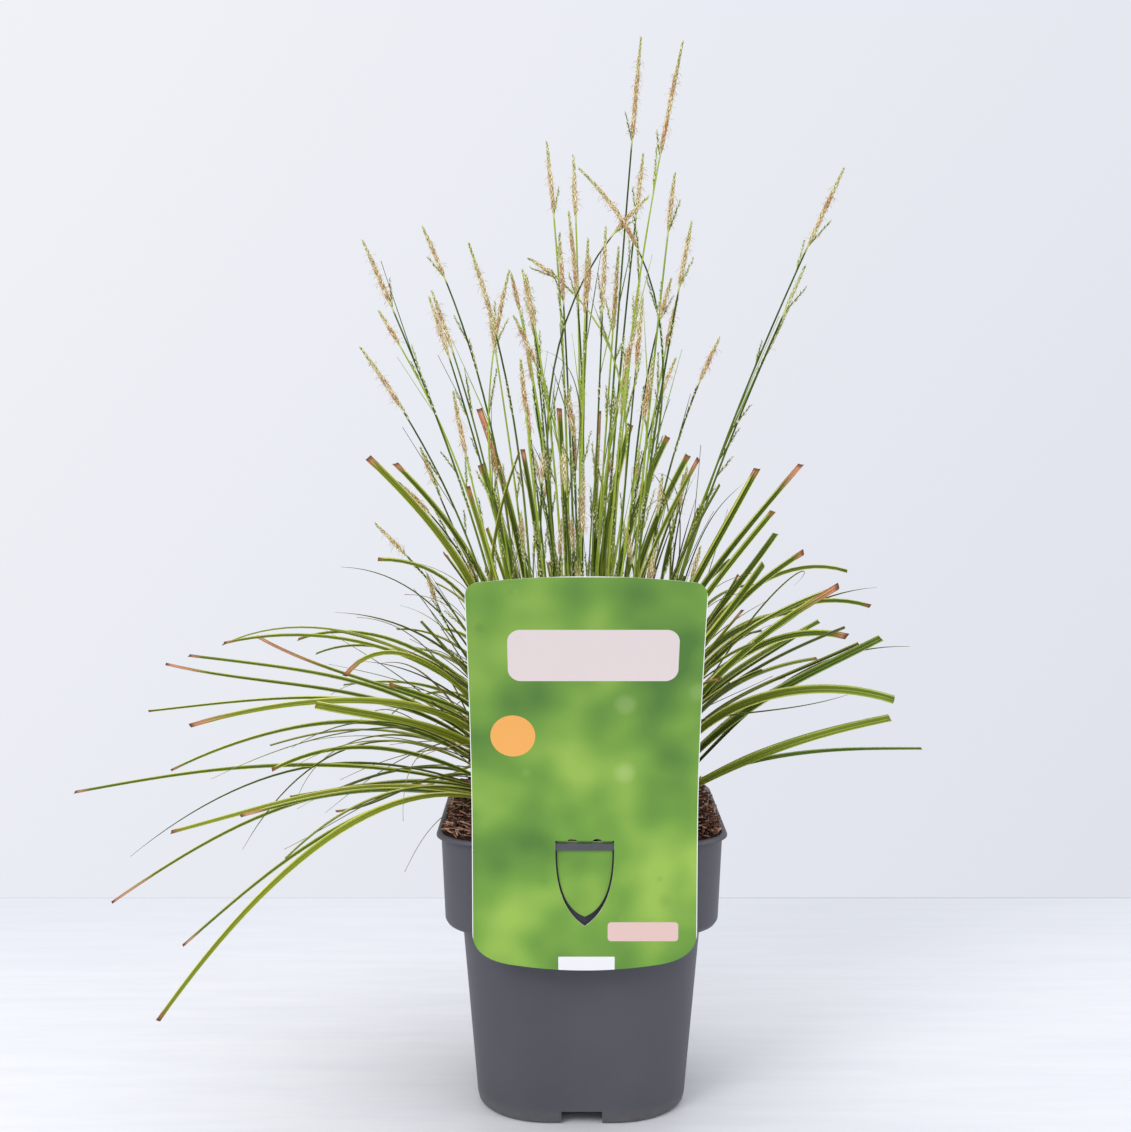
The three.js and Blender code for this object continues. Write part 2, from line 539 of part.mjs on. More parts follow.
// A stem that ends in a spindle covered in raised scales.
function stemSolids(foot, [azimuth, reach, height, rise, lean, spikeLength], draw) {
  const path = growingCurve(foot, onPlan(azimuth, reach, height), rise, lean);
  const start = 1 - spikeLength / path.length;
  const shares = [...evenly(STEM_STEPS, 0, start), ...evenly(SPIKE_STEPS, start, 1).slice(1)];
  const radiusAt = (ring, i) => {
    if (ring <= STEM_STEPS) {
      return STEM_RADIUS * (1.2 - 0.1 * ring);
    }
    const share = (ring - STEM_STEPS) / SPIKE_STEPS;
    const scale = (ring + i) % 2 ? 1.35 : 0.85;
    return SPIKE_RADIUS * scale * Math.sin(Math.PI * (0.3 + 0.65 * share)) ** 0.6;
  };
  const joints = height > 500 ? [STEM_STEPS - 1, STEM_STEPS] : [STEM_STEPS - 1];
  const sideSpikes = joints.map((joint) => sideSpike(path, shares[joint], draw));
  return [tube(path, shares, 4, radiusAt), ...sideSpikes];
}

// A round sheath that tapers above the soil, from which stems grow.
function stemSheath(place, radius, top, sides) {
  const path = growingCurve(place, place.clone().setZ(top), 90, 90);
  return tube(path, [0, 0.5, 1], sides, (ring) => radius * [1, 1, 0.6][ring]);
}

function makeCentreStems() {
  const draw = seeded(77);
  const stems = CENTRE_STEMS.flatMap((row) => {
    const [azimuth, reach] = row;
    const foot = onPlan(azimuth, CENTRE_SPREAD * reach, CENTRE_SHEATH_TOP - 2 * ROOT_DEPTH);
    return stemSolids(foot, row, draw);
  });
  const middle = new THREE.Vector3(0, 0, CROWN_FLOOR + CLEARANCE);
  return joined([stemSheath(middle, CENTRE_RADIUS, CENTRE_SHEATH_TOP, 9), ...stems]);
}

function makeSideStems(bunch) {
  const azimuth = ((bunch + 0.5) * 360) / TUFTS;
  const draw = seeded(500 + bunch);
  const stand = onPlan(azimuth, STEM_RING_RADIUS, CROWN_FLOOR + CLEARANCE);
  const foot = onPlan(azimuth, STEM_RING_RADIUS, BUNCH_SHEATH_TOP - 2 * ROOT_DEPTH);
  const stems = sideStems(azimuth, draw).flatMap((row) => stemSolids(foot, row, draw));
  return joined([stemSheath(stand, BUNCH_RADIUS, BUNCH_SHEATH_TOP, 5), ...stems]);
}

// ---- the whole plant ----
const two = (number) => String(number + 1).padStart(2, '0');
const carex = new THREE.Group();
carex.add(meshFrom(makePot(), 'pot', MATERIALS.pot));
carex.add(meshFrom(makeSoil(), 'soil', MATERIALS.soil));
carex.add(meshFrom(makeLabel(), 'label', MATERIALS.label));
carex.add(meshFrom(makeCentreStems(), 'flower_stems_centre', MATERIALS.flower));
for (let i = 0; i < TUFTS; i++) {
  carex.add(meshFrom(makeTuft(i), `leaf_tuft_${two(i)}`, MATERIALS.leaf));
  carex.add(meshFrom(makeSideStems(i), `flower_stems_${two(i)}`, MATERIALS.flower));
}

export default carex;
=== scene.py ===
# A variegated carex sedge in a rounded-square nursery pot with its hanging label: the looks around the CAD.
# Shapes are worked out in millimetres, in the CAD's own frame, and become metres when a piece is made.
import json
import math

import bmesh
import bpy
import numpy as np
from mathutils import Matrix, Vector, geometry, noise

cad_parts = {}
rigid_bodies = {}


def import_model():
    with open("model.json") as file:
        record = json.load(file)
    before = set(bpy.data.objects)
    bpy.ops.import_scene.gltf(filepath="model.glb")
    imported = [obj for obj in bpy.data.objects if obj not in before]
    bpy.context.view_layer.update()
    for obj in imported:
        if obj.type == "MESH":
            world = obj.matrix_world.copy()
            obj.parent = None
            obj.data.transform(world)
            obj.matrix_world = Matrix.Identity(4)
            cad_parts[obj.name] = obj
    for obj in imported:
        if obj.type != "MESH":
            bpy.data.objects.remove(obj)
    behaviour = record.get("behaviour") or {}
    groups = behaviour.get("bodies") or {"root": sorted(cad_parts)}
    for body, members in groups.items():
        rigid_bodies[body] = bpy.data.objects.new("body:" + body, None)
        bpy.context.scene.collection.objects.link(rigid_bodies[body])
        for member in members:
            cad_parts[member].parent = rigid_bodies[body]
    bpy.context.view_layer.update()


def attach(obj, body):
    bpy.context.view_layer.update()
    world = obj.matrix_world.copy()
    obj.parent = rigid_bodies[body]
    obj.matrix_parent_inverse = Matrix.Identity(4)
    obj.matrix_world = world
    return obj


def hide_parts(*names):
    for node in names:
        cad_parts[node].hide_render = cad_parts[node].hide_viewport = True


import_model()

MM = 0.001

# ---- the CAD's driving dimensions ----
POT_HEIGHT = 174
RIM_HALF = 84.5
COLLAR_HEIGHT = 55.3
COLLAR_HALF = 80.2
BODY_HALF_TOP = 70.5
BODY_HALF_FOOT = 63
CORNER_RADIUS_RIM = 28
CORNER_RADIUS_FOOT = 44
WALL = 1.3
LIP_DEPTH = 2.2
LIP_GAP = 1.6
LIP_WALL = 1.0
BRIDGE_WIDTH = 44
BRIDGE_DEPTH = 4.4
LEDGE = 1.4
UNDERSIDE = 9
SKIRT_WALL = 2.4
HUB_RADIUS = 22
NOTCH_WIDTH = 24
NOTCH_HEIGHT = 8
STEP_HEIGHT = POT_HEIGHT - COLLAR_HEIGHT
WALL_HALF_TOP = RIM_HALF - LIP_WALL - LIP_GAP

SOIL_EDGE = 173
SOIL_DOME = 8
CROWN_RADIUS = 58
CROWN_TOP = 191
ROOT_DEPTH = 9
CLEARANCE = 0.3

TUFTS = 14
LEAVES_PER_TUFT = 12
LEAVES_BEHIND_LABEL = 9
LEAF_WEDGE = 8.0
LEAF_FAN = 10.6
KEEL = 0.4
LONG_REACH = 200
STEM_RING_RADIUS = 29
ROOT_INNER = 24
ROOT_OUTER = 54
CENTRE_RADIUS = 15
CENTRE_TOP = 202
BUNCH_TOP = 197

LABEL_HALF = 63.7
LABEL_SHIFT = 1.4
LABEL_TOP = 331
LABEL_BOTTOM = 100.5
LABEL_THICKNESS = 0.8
LABEL_FRONT = -RIM_HALF - CLEARANCE - LABEL_THICKNESS
LABEL_LEAN = 66
RIM_TOP = POT_HEIGHT + 1
TONGUE_HALF = 15.7
TONGUE_TIP = 131
TONGUE_SHOULDER = 168.5
TONGUE_WAIST = 137
OPENING_SIDE = 0.9
OPENING_DROP = 4.8
OPENING_TOP = RIM_TOP + 0.4
TONGUE_HANG = -(WALL_HALF_TOP + LIP_GAP / 2) - LABEL_THICKNESS / 2


# ---- random draws, the same on every run ----
def seeded(seed):
    state = seed

    def draw(low, high):
        nonlocal state
        state = (state * 1664525 + 1013904223) % 2 ** 32
        return low + (high - low) * state / 2 ** 32

    return draw


# ---- building meshes ----
PLAIN_KIND = (0.5, 0, 0)  # a middling tone, nothing browned, nothing dry


class Skin:
    """Collects closed shapes in millimetres. Each vertex carries two three-number marks for the materials:
    place, where it is on its blade or spike, and kind, what that blade or spike is like."""

    def __init__(self):
        self.points, self.faces, self.place, self.kind, self.looks = [], [], [], [], []
        self.count = 0

    def add(self, points, faces, place=None, kind=PLAIN_KIND, looks=None):
        """points (n, 3), faces as an index array or list, place (n, 3), kind (3) or (n, 3), and which of the
        piece's materials each face has."""
        points = np.asarray(points, float).reshape(-1, 3)
        blank = np.zeros_like(points)
        self.points.append(points)
        self.place.append(blank if place is None else np.asarray(place, float).reshape(-1, 3))
        self.kind.append(blank + np.asarray(kind, float))
        self.faces.extend([[i + self.count for i in face] for face in faces])
        self.looks.extend(looks or [0] * len(faces))
        self.count += len(points)

    def loft(self, rings, place=None, kind=PLAIN_KIND, upper=0):
        """A closed skin over rings (r, c, 3) with both ends capped. Rings turn anticlockwise seen from the
        last one. The rings of a folded blade list their upper points first, whose number is upper, and
        the faces below them have the second material."""
        rings = np.asarray(rings, float)
        rows, count = rings.shape[:2]
        i = np.arange(count)
        j = (i + 1) % count
        step = (np.arange(rows - 1) * count)[:, None]
        quads = np.stack([i + step, j + step, j + step + count, i + step + count], 2).reshape(-1, 4)
        faces = quads.tolist()
        looks = ([0] * (upper - 1) + [1] * (count - upper + 1) if upper else [0] * count) * (rows - 1)
        last = (rows - 1) * count
        for cap in folded_cap(upper) if upper else [list(range(count))]:
            faces.append(cap[::-1])
            faces.append([k + last for k in cap])
            looks += [0, 0]
        self.add(rings, faces, place, kind, looks)


def folded_cap(upper):
    """The faces across the end of a folded blade, from its upper points to its lower ones."""
    below = lambda k: k if k in (0, upper - 1) else 2 * upper - 2 - k
    faces = []
    for k in range(upper - 1):
        face = [k, k + 1, below(k + 1), below(k)]
        faces.append([v for n, v in enumerate(face) if v not in face[:n]])
    return faces


def new_piece(name, skin, materials, nodes):
    """A mesh object from a skin, on the part's body, standing for CAD nodes."""
    mesh = bpy.data.meshes.new(name)
    points = np.concatenate(skin.points) * MM
    mesh.from_pydata(points.tolist(), [], skin.faces)
    mesh.polygons.foreach_set("material_index", skin.looks)
    for label, marks in (("place", skin.place), ("kind", skin.kind)):
        layer = mesh.attributes.new(label, "FLOAT_VECTOR", "POINT")
        layer.data.foreach_set("vector", np.concatenate(marks).astype(np.float32).ravel())
    piece = bpy.data.objects.new(name, mesh)
    bpy.context.scene.collection.objects.link(piece)
    for material in materials:
        mesh.materials.append(material)
    mesh.shade_smooth()
    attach(piece, "root")
    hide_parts(*nodes)
    return piece


def sharpen(mesh, degrees):
    """Marks the edges that fold more than an angle as sharp."""
    work = bmesh.new()
    work.from_mesh(mesh)
    bmesh.ops.recalc_face_normals(work, faces=work.faces)
    for edge in work.edges:
        edge.smooth = len(edge.link_faces) == 2 and edge.calc_face_angle(0) < math.radians(degrees)
    work.to_mesh(mesh)
    work.free()


# ---- materials ----
def colour(code):
    """A colour written as in #6c8a35, as the linear numbers that shaders take."""
    parts = [int(code[i:i + 2], 16) / 255 for i in (1, 3, 5)]
    return [p / 12.92 if p <= 0.04045 else ((p + 0.055) / 1.055) ** 2.4 for p in parts] + [1]


class Nodes:
    """The nodes of a material or of the world. Most calls add one and return the socket that it gives."""

    def __init__(self, owner):
        owner.use_nodes = True
        self.tree = owner.node_tree

    def node(self, kind, inputs=(), **settings):
        node = self.tree.nodes.new(kind)
        for key, value in settings.items():
            setattr(node, key, value)
        for key, value in dict(inputs).items():
            self.give(node.inputs[key], value)
        return node

    def give(self, socket, value):
        if isinstance(value, bpy.types.NodeSocket):
            self.tree.links.new(value, socket)
        else:
            socket.default_value = value

    def math(self, operation, a, b=0.0):
        return self.node("ShaderNodeMath", {0: a, 1: b}, operation=operation).outputs[0]

    def plus(self, a, b):
        return self.math("ADD", a, b)

    def minus(self, a, b):
        return self.math("SUBTRACT", a, b)

    def times(self, a, b):
        return self.math("MULTIPLY", a, b)

    def mix(self, share, a, b):
        a, b = (colour(c) if isinstance(c, str) else c for c in (a, b))
        return self.node("ShaderNodeMix", {0: share, 6: a, 7: b}, data_type="RGBA").outputs[2]

    def ramp(self, share, *stops):
        node = self.node("ShaderNodeValToRGB", {0: share})
        elements = node.color_ramp.elements
        for place, code in stops[1:-1]:
            elements.new(place).color = colour(code)
        for element, (place, code) in ((elements[0], stops[0]), (elements[-1], stops[-1])):
            element.position, element.color = place, colour(code)
        return node.outputs[0]

    def noise(self, vector, scale, detail=3.0, roughness=0.5):
        inputs = {"Vector": vector, "Scale": scale, "Detail": detail, "Roughness": roughness}
        return self.node("ShaderNodeTexNoise", inputs).outputs[0]

    def spread(self, value, low, high, to_low=0.0, to_high=1.0):
        inputs = {0: value, 1: low, 2: high, 3: to_low, 4: to_high}
        return self.node("ShaderNodeMapRange", inputs, interpolation_type="SMOOTHSTEP").outputs[0]

    def split(self, vector):
        return self.node("ShaderNodeSeparateXYZ", {0: vector}).outputs

    def join(self, x, y, z):
        return self.node("ShaderNodeCombineXYZ", {0: x, 1: y, 2: z}).outputs[0]


class Material(Nodes):
    def __init__(self, name, roughness, specular):
        self.made = bpy.data.materials.new(name)
        super().__init__(self.made)
        self.shader = self.tree.nodes["Principled BSDF"]
        self.shader.inputs["Roughness"].default_value = roughness
        self.shader.inputs["Specular IOR Level"].default_value = specular

    def object_place(self):
        return self.node("ShaderNodeTexCoord").outputs["Object"]

    def marks(self, name):
        """The three numbers of one of a skin's marks, place or kind."""
        return self.split(self.node("ShaderNodeAttribute", attribute_name=name).outputs["Vector"])

    def bump(self, height, strength, depth):
        inputs = {"Height": height, "Strength": strength, "Distance": depth * MM}
        self.give(self.shader.inputs["Normal"], self.node("ShaderNodeBump", inputs).outputs[0])

    def done(self, base, roughness=None):
        self.give(self.shader.inputs["Base Color"], base)
        if roughness is not None:
            self.give(self.shader.inputs["Roughness"], roughness)
        return self.made


def pot_plastic():
    look = Material("pot_plastic", 0.5, 0.35)
    at = look.object_place()
    height = look.split(at)[2]
    cloudy = look.noise(at, 14, 4)
    base = look.ramp(cloudy, (0.3, "#494950"), (0.7, "#525158"))
    scuffed = look.spread(look.noise(at, 160, 5, 0.7), 0.6, 0.78, 0, 0.12)
    base = look.mix(scuffed, base, "#6e6e77")
    dusty = look.times(look.spread(height, 0.012, 0, 0, 0.35), look.noise(at, 220, 3))
    base = look.mix(dusty, base, "#8b8580")
    look.bump(look.noise(at, 1300, 2), 0.35, 0.06)
    return look.done(base, look.spread(cloudy, 0.3, 0.7, 0.46, 0.58))


def soil_earth():
    look = Material("soil_earth", 0.95, 0.2)
    at = look.object_place()
    grain = look.noise(at, 420, 6, 0.7)
    base = look.ramp(grain, (0.3, "#170f0c"), (0.5, "#2c1c15"), (0.68, "#4a3024"), (0.8, "#6b4936"))
    look.bump(grain, 1.0, 1.2)
    return look.done(base)


def bark():
    look = Material("bark_strips", 0.8, 0.3)
    along = look.marks("place")[1]
    tone = look.marks("kind")[0]
    at = look.object_place()
    grain = look.noise(at, 700, 4, 0.6)
    streaked = look.plus(tone, look.spread(grain, 0.3, 0.7, -0.16, 0.16))
    base = look.ramp(streaked, (0.0, "#1d1410"), (0.35, "#40261c"), (0.65, "#754c3a"), (1.0, "#c29a80"))
    base = look.mix(look.spread(along, 0.85, 1.0, 0, 0.4), base, "#2a1a14")
    look.bump(grain, 0.7, 0.3)
    return look.done(base)


# A blade's colours from its middle to its margin.
UPPER_GREENS = ((0.0, "#74881e"), (0.14, "#32460a"), (0.56, "#486014"), (0.7, "#8a9a2a"), (0.84, "#dcd95c"),
                (1.0, "#f4efb4"))
PALE_GREENS = ((0.0, "#7f9434"), (0.12, "#31480c"), (0.5, "#4c6818"), (0.74, "#77923a"), (0.88, "#b2c278"),
               (1.0, "#e0e6bc"))
# The face below: its own greens and margins, darkened all over as painted shade.
SHADED_UNDER_GREENS = ((0.0, "#5c6a1c"), (0.3, "#24300a"), (0.65, "#34440f"), (0.88, "#a8a83a"), (1.0, "#dcd884"))
PALE_FROM, PALE_FULL = 0.05, 0.13  # metres to the right of the middle, at the height PALE_LEVEL
PALE_LEVEL = 0.22
PALE_SLOPE = 1.2  # how much further out they lie for each metre above that
RIBS = 24.0
TONES_APART = 57.0  # sets each blade's streaks apart from the next one's


def leaf_green(name, under):
    """A blade's upper face, with its olive middle and yellow margins, or the face below it, whose greens are
    darkened as painted shade. The margins of the lowest blades on the right are pale green instead."""
    look = Material(name, 0.55, 0.22)
    across, along, from_tip = look.marks("place")
    tone, brown_length, dry = look.marks("kind")
    aside = look.math("ABSOLUTE", across)
    drift = look.times(tone, TONES_APART)
    lines = look.join(look.times(across, 7.0), look.times(along, 1.6), drift)
    streak = look.noise(lines, 1.0, 4, 0.65)
    edgeward = look.plus(aside, look.spread(streak, 0.3, 0.7, -0.2, 0.2))
    fresh = look.ramp(edgeward, *(SHADED_UNDER_GREENS if under else UPPER_GREENS))
    if not under:
        x, _, z = look.split(look.object_place())
        low_right = look.minus(x, look.times(look.minus(z, PALE_LEVEL), PALE_SLOPE))
        pale = look.spread(low_right, PALE_FROM, PALE_FULL)
        fresh = look.mix(pale, fresh, look.ramp(edgeward, *PALE_GREENS))
    deep = look.mix(0.7, fresh, "#2f3f10")
    gold = look.mix(0.4, fresh, "#bfc034")
    fresh = look.mix(look.spread(tone, 0.05, 0.4), deep, fresh)
    fresh = look.mix(look.spread(tone, 0.6, 1.0), fresh, gold)
    rooted = look.spread(along, 0.0, 0.16, 0.75, 0)
    fresh = look.mix(rooted, fresh, look.mix(tone, "#5c4d26", "#8f8a4c"))
    straw = look.ramp(streak, (0.3, "#8d6a40"), (0.7, "#c7a873"))
    fresh = look.mix(dry, fresh, straw)
    ragged = look.times(look.spread(streak, 0.3, 0.7, -0.8, 0.8), brown_length)
    past = look.minus(look.plus(brown_length, ragged), from_tip)
    burnt = look.ramp(streak, (0.3, "#84472a"), (0.5, "#b97b54"), (0.72, "#dfb897"))
    burnt = look.mix(look.spread(from_tip, 3.2, 0.3, 0, 0.8), burnt, "#4c2618")
    burnt = look.mix(look.spread(past, 3.0, 0.0, 0, 0.75), burnt, "#8a5a26")
    base = look.mix(look.spread(past, -4.0, 1.0), fresh, burnt)
    ribs = look.math("SINE", look.times(across, RIBS))
    look.bump(look.plus(ribs, look.times(streak, 2.0)), 0.5, 0.08)
    return look.done(base, look.spread(past, -1.0, 1.0, 0.55, 0.75))


def stem_green():
    """Culms that are dark green or yellow-green by turns, a little paler low down."""
    look = Material("stem_green", 0.6, 0.15)
    around, along, _ = look.marks("place")
    tone = look.marks("kind")[0]
    lines = look.join(look.times(around, 3.0), look.times(along, 9.0), tone)
    streak = look.noise(lines, 2.0, 3, 0.6)
    bright = look.ramp(streak, (0.3, "#86a41c"), (0.5, "#b0c73c"), (0.7, "#dce58a"))
    dark = look.ramp(streak, (0.3, "#1d2c08"), (0.6, "#375212"), (0.75, "#728c28"))
    chosen = look.spread(tone, 0.5, 0.66)
    high = look.mix(chosen, dark, look.mix(0.35, bright, "#5c7420"))
    low = look.mix(chosen, look.mix(0.3, dark, bright), look.mix(0.2, bright, "#5c7420"))
    base = look.mix(look.spread(along, 0.35, 0.85), low, high)
    look.bump(streak, 0.3, 0.05)
    return look.done(base)


def spike_gold():
    look = Material("spike_gold", 0.65, 0.3)
    _, along, outward = look.marks("place")
    tone, fresh, _ = look.marks("kind")
    grain = look.noise(look.object_place(), 900, 2)
    gold = look.ramp(tone, (0.0, "#b68a5a"), (0.3, "#d4b07e"), (0.6, "#e8d2a4"), (1.0, "#f8f0d6"))
    young = look.ramp(tone, (0.0, "#a9b062"), (0.5, "#cfd08c"), (1.0, "#ebe7b8"))
    tipward = look.plus(look.spread(along, 0.55, 0.95), look.spread(along, 0.12, 0.0, 0, 0.5))
    patch = look.noise(look.object_place(), 130, 2)
    gold = look.mix(look.spread(patch, 0.5, 0.62, 0, 0.6), gold, "#b87a48")
    gold = look.mix(look.spread(patch, 0.5, 0.38, 0, 0.6), gold, "#efe6ba")
    base = look.mix(tipward, gold, young)
    green = look.ramp(tone, (0.0, "#9db060"), (0.5, "#cbd795"), (1.0, "#eef0cc"))
    base = look.mix(fresh, base, green)
    # Painted shade: the scales turn darker brown towards their roots, deep between them near the spike's
    # axis.
    base = look.mix(look.spread(outward, 0.0, 1.0, 0.25, 0), base, "#94724d")
    look.bump(grain, 0.4, 0.1)
    return look.done(base)


# On the card's face, in millimetres: the printed part within its white edge, and then what is blank on it, a
# broad strip, a short one, a dot and a small plate. Each has its middle, half-size, corner radius and colour.
PRINT_MIDDLE = 200
PRINT_EDGE = 0.45
PRINTED = ((0, PRINT_MIDDLE), (LABEL_HALF - PRINT_EDGE, LABEL_TOP - PRINT_MIDDLE - PRINT_EDGE), 9.5)
BLANK_PANELS = [
    ((4, 286), (46, 15), 7, "#e2d4d2"), ((33, 123), (20, 5.5), 2, "#dcbcb5"),
    ((-40, 238), (12.4, 12.4), 12.4, "#f2ac58"), ((1, 103), (16, 5.5), 0.4, "#e6e6e8"),
]
# Layers of spots from large to small: the pattern's scale, its shift and how soft the spots' edges are.
SPOTS = [(24.0, 0.0, 0.08), (34.0, 3.0, 0.06), (48.0, 7.0, 0.05), (70.0, 11.0, 0.035)]


def panel_mask(look, x, z, middle, half, corner):
    """1 inside a rectangle with rounded corners, which is a disc where they take up all of it."""
    over = []
    for value, centre, reach in ((x, middle[0], half[0]), (z, middle[1], half[1])):
        away = look.math("ABSOLUTE", look.minus(value, centre * MM))
        past = look.math("MAXIMUM", look.minus(away, (reach - corner) * MM), 0.0)
        over.append(look.times(past, past))
    return look.math("LESS_THAN", look.math("SQRT", look.plus(*over)), corner * MM)


def label_print():
    """Round spots of many greens as if far out of focus, with blank pink strips and an orange dot."""
    look = Material("label_print", 0.4, 0.4)
    x, _, z = look.split(look.object_place())
    x = look.minus(x, LABEL_SHIFT * MM)
    flat = look.join(x, 0.0, z)
    base = look.ramp(look.noise(flat, 16, 2, 0.5), (0.35, "#4c7a2c"), (0.5, "#6d9a37"), (0.65, "#93b74a"))
    for scale, shift, blur in SPOTS:
        moved = look.join(look.plus(x, shift), 0.0, look.plus(z, shift))
        inputs = {"Vector": moved, "Scale": scale, "Randomness": 0.6}
        cells = look.node("ShaderNodeTexVoronoi", inputs).outputs
        drawn, chance, _ = look.split(cells["Color"])
        size = look.plus(0.14, look.times(chance, 0.14))
        edge = look.minus(cells["Distance"], size)
        spot = look.times(look.spread(edge, blur, 0.0, 0, 0.5), look.spread(chance, 0.2, 0.5))
        tint = look.ramp(drawn, (0.1, "#31571f"), (0.4, "#5d8f2f"), (0.65, "#a3c457"), (0.9, "#dde9ac"))
        base = look.mix(spot, base, tint)
    base = look.mix(panel_mask(look, x, z, *PRINTED), "#eceeea", base)
    for *panel, tint in BLANK_PANELS:
        base = look.mix(panel_mask(look, x, z, *panel), base, tint)
    return look.done(base)


def card_white():
    look = Material("label_card_white", 0.5, 0.4)
    at = look.object_place()
    base = look.ramp(look.noise(at, 300, 3), (0.3, "#e9eae8"), (0.7, "#f4f4f2"))
    look.bump(look.noise(at, 900, 2), 0.1, 0.05)
    return look.done(base)


# ---- pot ----
CORNER_STEPS = 18
RIM_BEVEL = 0.9
COLLAR_BEVEL = 1.5
COLLAR_START = 2  # the collar's straight wall starts this far above the step
STEP_FLARE = 2  # how far the body widens just below the collar
FOOT_BEVEL = 2.6
EDGE_ROUNDING = 0.8
EDGE_STEPS = 3
NOTCH_DEPTH = 12
SLOT_PLAY = 2  # the slot is this much wider than the tongue to each side
FOLD_ON_POT = 28  # degrees, above which an edge stays sharp


def rounded_square(half, radius, z):
    ring = []
    for corner in range(4):
        middle = math.radians(corner * 90 + 45)
        centre = math.sqrt(2) * (half - radius)
        for step in range(CORNER_STEPS + 1):
            angle = math.radians((corner + step / CORNER_STEPS) * 90)
            ring.append((centre * math.cos(middle) + radius * math.cos(angle),
                         centre * math.sin(middle) + radius * math.sin(angle), z))
    return np.array(ring)


def corner_radius(z):
    return CORNER_RADIUS_FOOT + (CORNER_RADIUS_RIM - CORNER_RADIUS_FOOT) * z / POT_HEIGHT


def pot_ring(half, z, inset=0.0):
    return rounded_square(half, corner_radius(z) - inset, z)


def softened(profile):
    """A profile of (half-width, height, inset) points with each corner turned into a short curve."""
    points = [np.array(p, float) for p in profile]
    soft = [points[0]]
    for before, corner, after in zip(points, points[1:], points[2:]):
        arms = [(other - corner, np.linalg.norm(other - corner)) for other in (before, after)]
        reach = min(EDGE_ROUNDING, *(0.45 * length for _, length in arms))
        start, end = (corner + arm / length * reach for arm, length in arms)
        for t in np.linspace(0, 1, EDGE_STEPS + 1):
            soft.append((1 - t) ** 2 * start + 2 * t * (1 - t) * corner + t ** 2 * end)
    return soft + [points[-1]]


def pot_inside(gap):
    """The cavity from its floor to its mouth as (half-width, height, inset), drawn in by a gap."""
    inner = lambda half, z: (half - WALL - gap, z, WALL + gap)
    return [
        inner(BODY_HALF_FOOT - 2, UNDERSIDE + WALL + gap),
        inner(BODY_HALF_FOOT + 0.4, UNDERSIDE + WALL + 4 + gap),
        inner(BODY_HALF_TOP, STEP_HEIGHT - 4 + gap),
        inner(BODY_HALF_TOP + STEP_FLARE, STEP_HEIGHT - 2 + gap),
        inner(COLLAR_HALF - COLLAR_BEVEL, STEP_HEIGHT + 1 + gap),
        inner(COLLAR_HALF, STEP_HEIGHT + 4 + gap),
        inner(WALL_HALF_TOP, POT_HEIGHT - 1),
    ]


def wall_half(z):
    low = STEP_HEIGHT + COLLAR_START
    return COLLAR_HALF + (WALL_HALF_TOP - COLLAR_HALF) * (z - low) / (POT_HEIGHT - LEDGE - low)


def cut_block(mesh_object, width, depth, height, x, y, z, turn, operation="DIFFERENCE"):
    """Cuts a block out of an object, or joins one to it."""
    bpy.ops.mesh.primitive_cube_add(size=1)
    cutter = bpy.context.object
    cutter.scale = (width * MM, depth * MM, height * MM)
    angle = math.radians(turn)
    cutter.location = ((x * math.cos(angle) - y * math.sin(angle)) * MM,
                       (x * math.sin(angle) + y * math.cos(angle)) * MM, z * MM)
    cutter.rotation_euler[2] = angle
    cut = mesh_object.modifiers.new("cut", "BOOLEAN")
    cut.operation, cut.solver, cut.object = operation, "EXACT", cutter
    bpy.context.view_layer.objects.active = mesh_object
    bpy.ops.object.modifier_apply(modifier=cut.name)
    bpy.data.objects.remove(cutter)


def make_pot(material):
    hub = lambda z: (HUB_RADIUS, z, corner_radius(z) - HUB_RADIUS)
    outside = [
        hub(0), hub(UNDERSIDE), (BODY_HALF_FOOT - SKIRT_WALL, UNDERSIDE, SKIRT_WALL),
        (BODY_HALF_FOOT - SKIRT_WALL - 1.6, 0, SKIRT_WALL + 1.6), (BODY_HALF_FOOT - FOOT_BEVEL, 0, 2.4),
        (BODY_HALF_FOOT - 0.9, 1.5, 0.9), (BODY_HALF_FOOT, 5, 0),
        (BODY_HALF_TOP, STEP_HEIGHT - 5, 0), (BODY_HALF_TOP + STEP_FLARE, STEP_HEIGHT - 3.2, 0),
        (COLLAR_HALF - COLLAR_BEVEL, STEP_HEIGHT - 1, 0), (COLLAR_HALF, STEP_HEIGHT + COLLAR_START, 0),
        (WALL_HALF_TOP, POT_HEIGHT - LEDGE, 0), (RIM_HALF - LIP_WALL, POT_HEIGHT - LEDGE, 0),
        (RIM_HALF - LIP_WALL, POT_HEIGHT - LIP_DEPTH, 0), (RIM_HALF, POT_HEIGHT - LIP_DEPTH, 0),
        (RIM_HALF, POT_HEIGHT - RIM_BEVEL, 0), (RIM_HALF - RIM_BEVEL, POT_HEIGHT, RIM_BEVEL),
    ]
    inside = [(WALL_HALF_TOP - WALL + RIM_BEVEL, POT_HEIGHT, 0)] + pot_inside(0)[::-1]
    skin = Skin()
    skin.loft([pot_ring(*p) for p in softened(outside + inside)])
    pot = new_piece("pot_shell", skin, [material], ["pot"])
    for turn in (0, 90, 180, 270):
        cut_block(pot, NOTCH_WIDTH, NOTCH_DEPTH, 2 * NOTCH_HEIGHT, 0, -BODY_HALF_FOOT, 0, turn)
    # In front of the slot the lip hangs deeper.
    bridge_place = -(RIM_HALF - LIP_WALL / 2 - 0.05)
    bridge_middle = POT_HEIGHT - (BRIDGE_DEPTH + 1) / 2
    cut_block(pot, BRIDGE_WIDTH, LIP_WALL, BRIDGE_DEPTH - 1, 0, bridge_place, bridge_middle, 0, "UNION")
    slot_place = -(WALL_HALF_TOP + LIP_GAP / 2)
    cut_block(pot, 2 * (TONGUE_HALF + SLOT_PLAY), LIP_GAP, 3 * LEDGE, 0, slot_place, POT_HEIGHT, 0)
    sharpen(pot.data, FOLD_ON_POT)


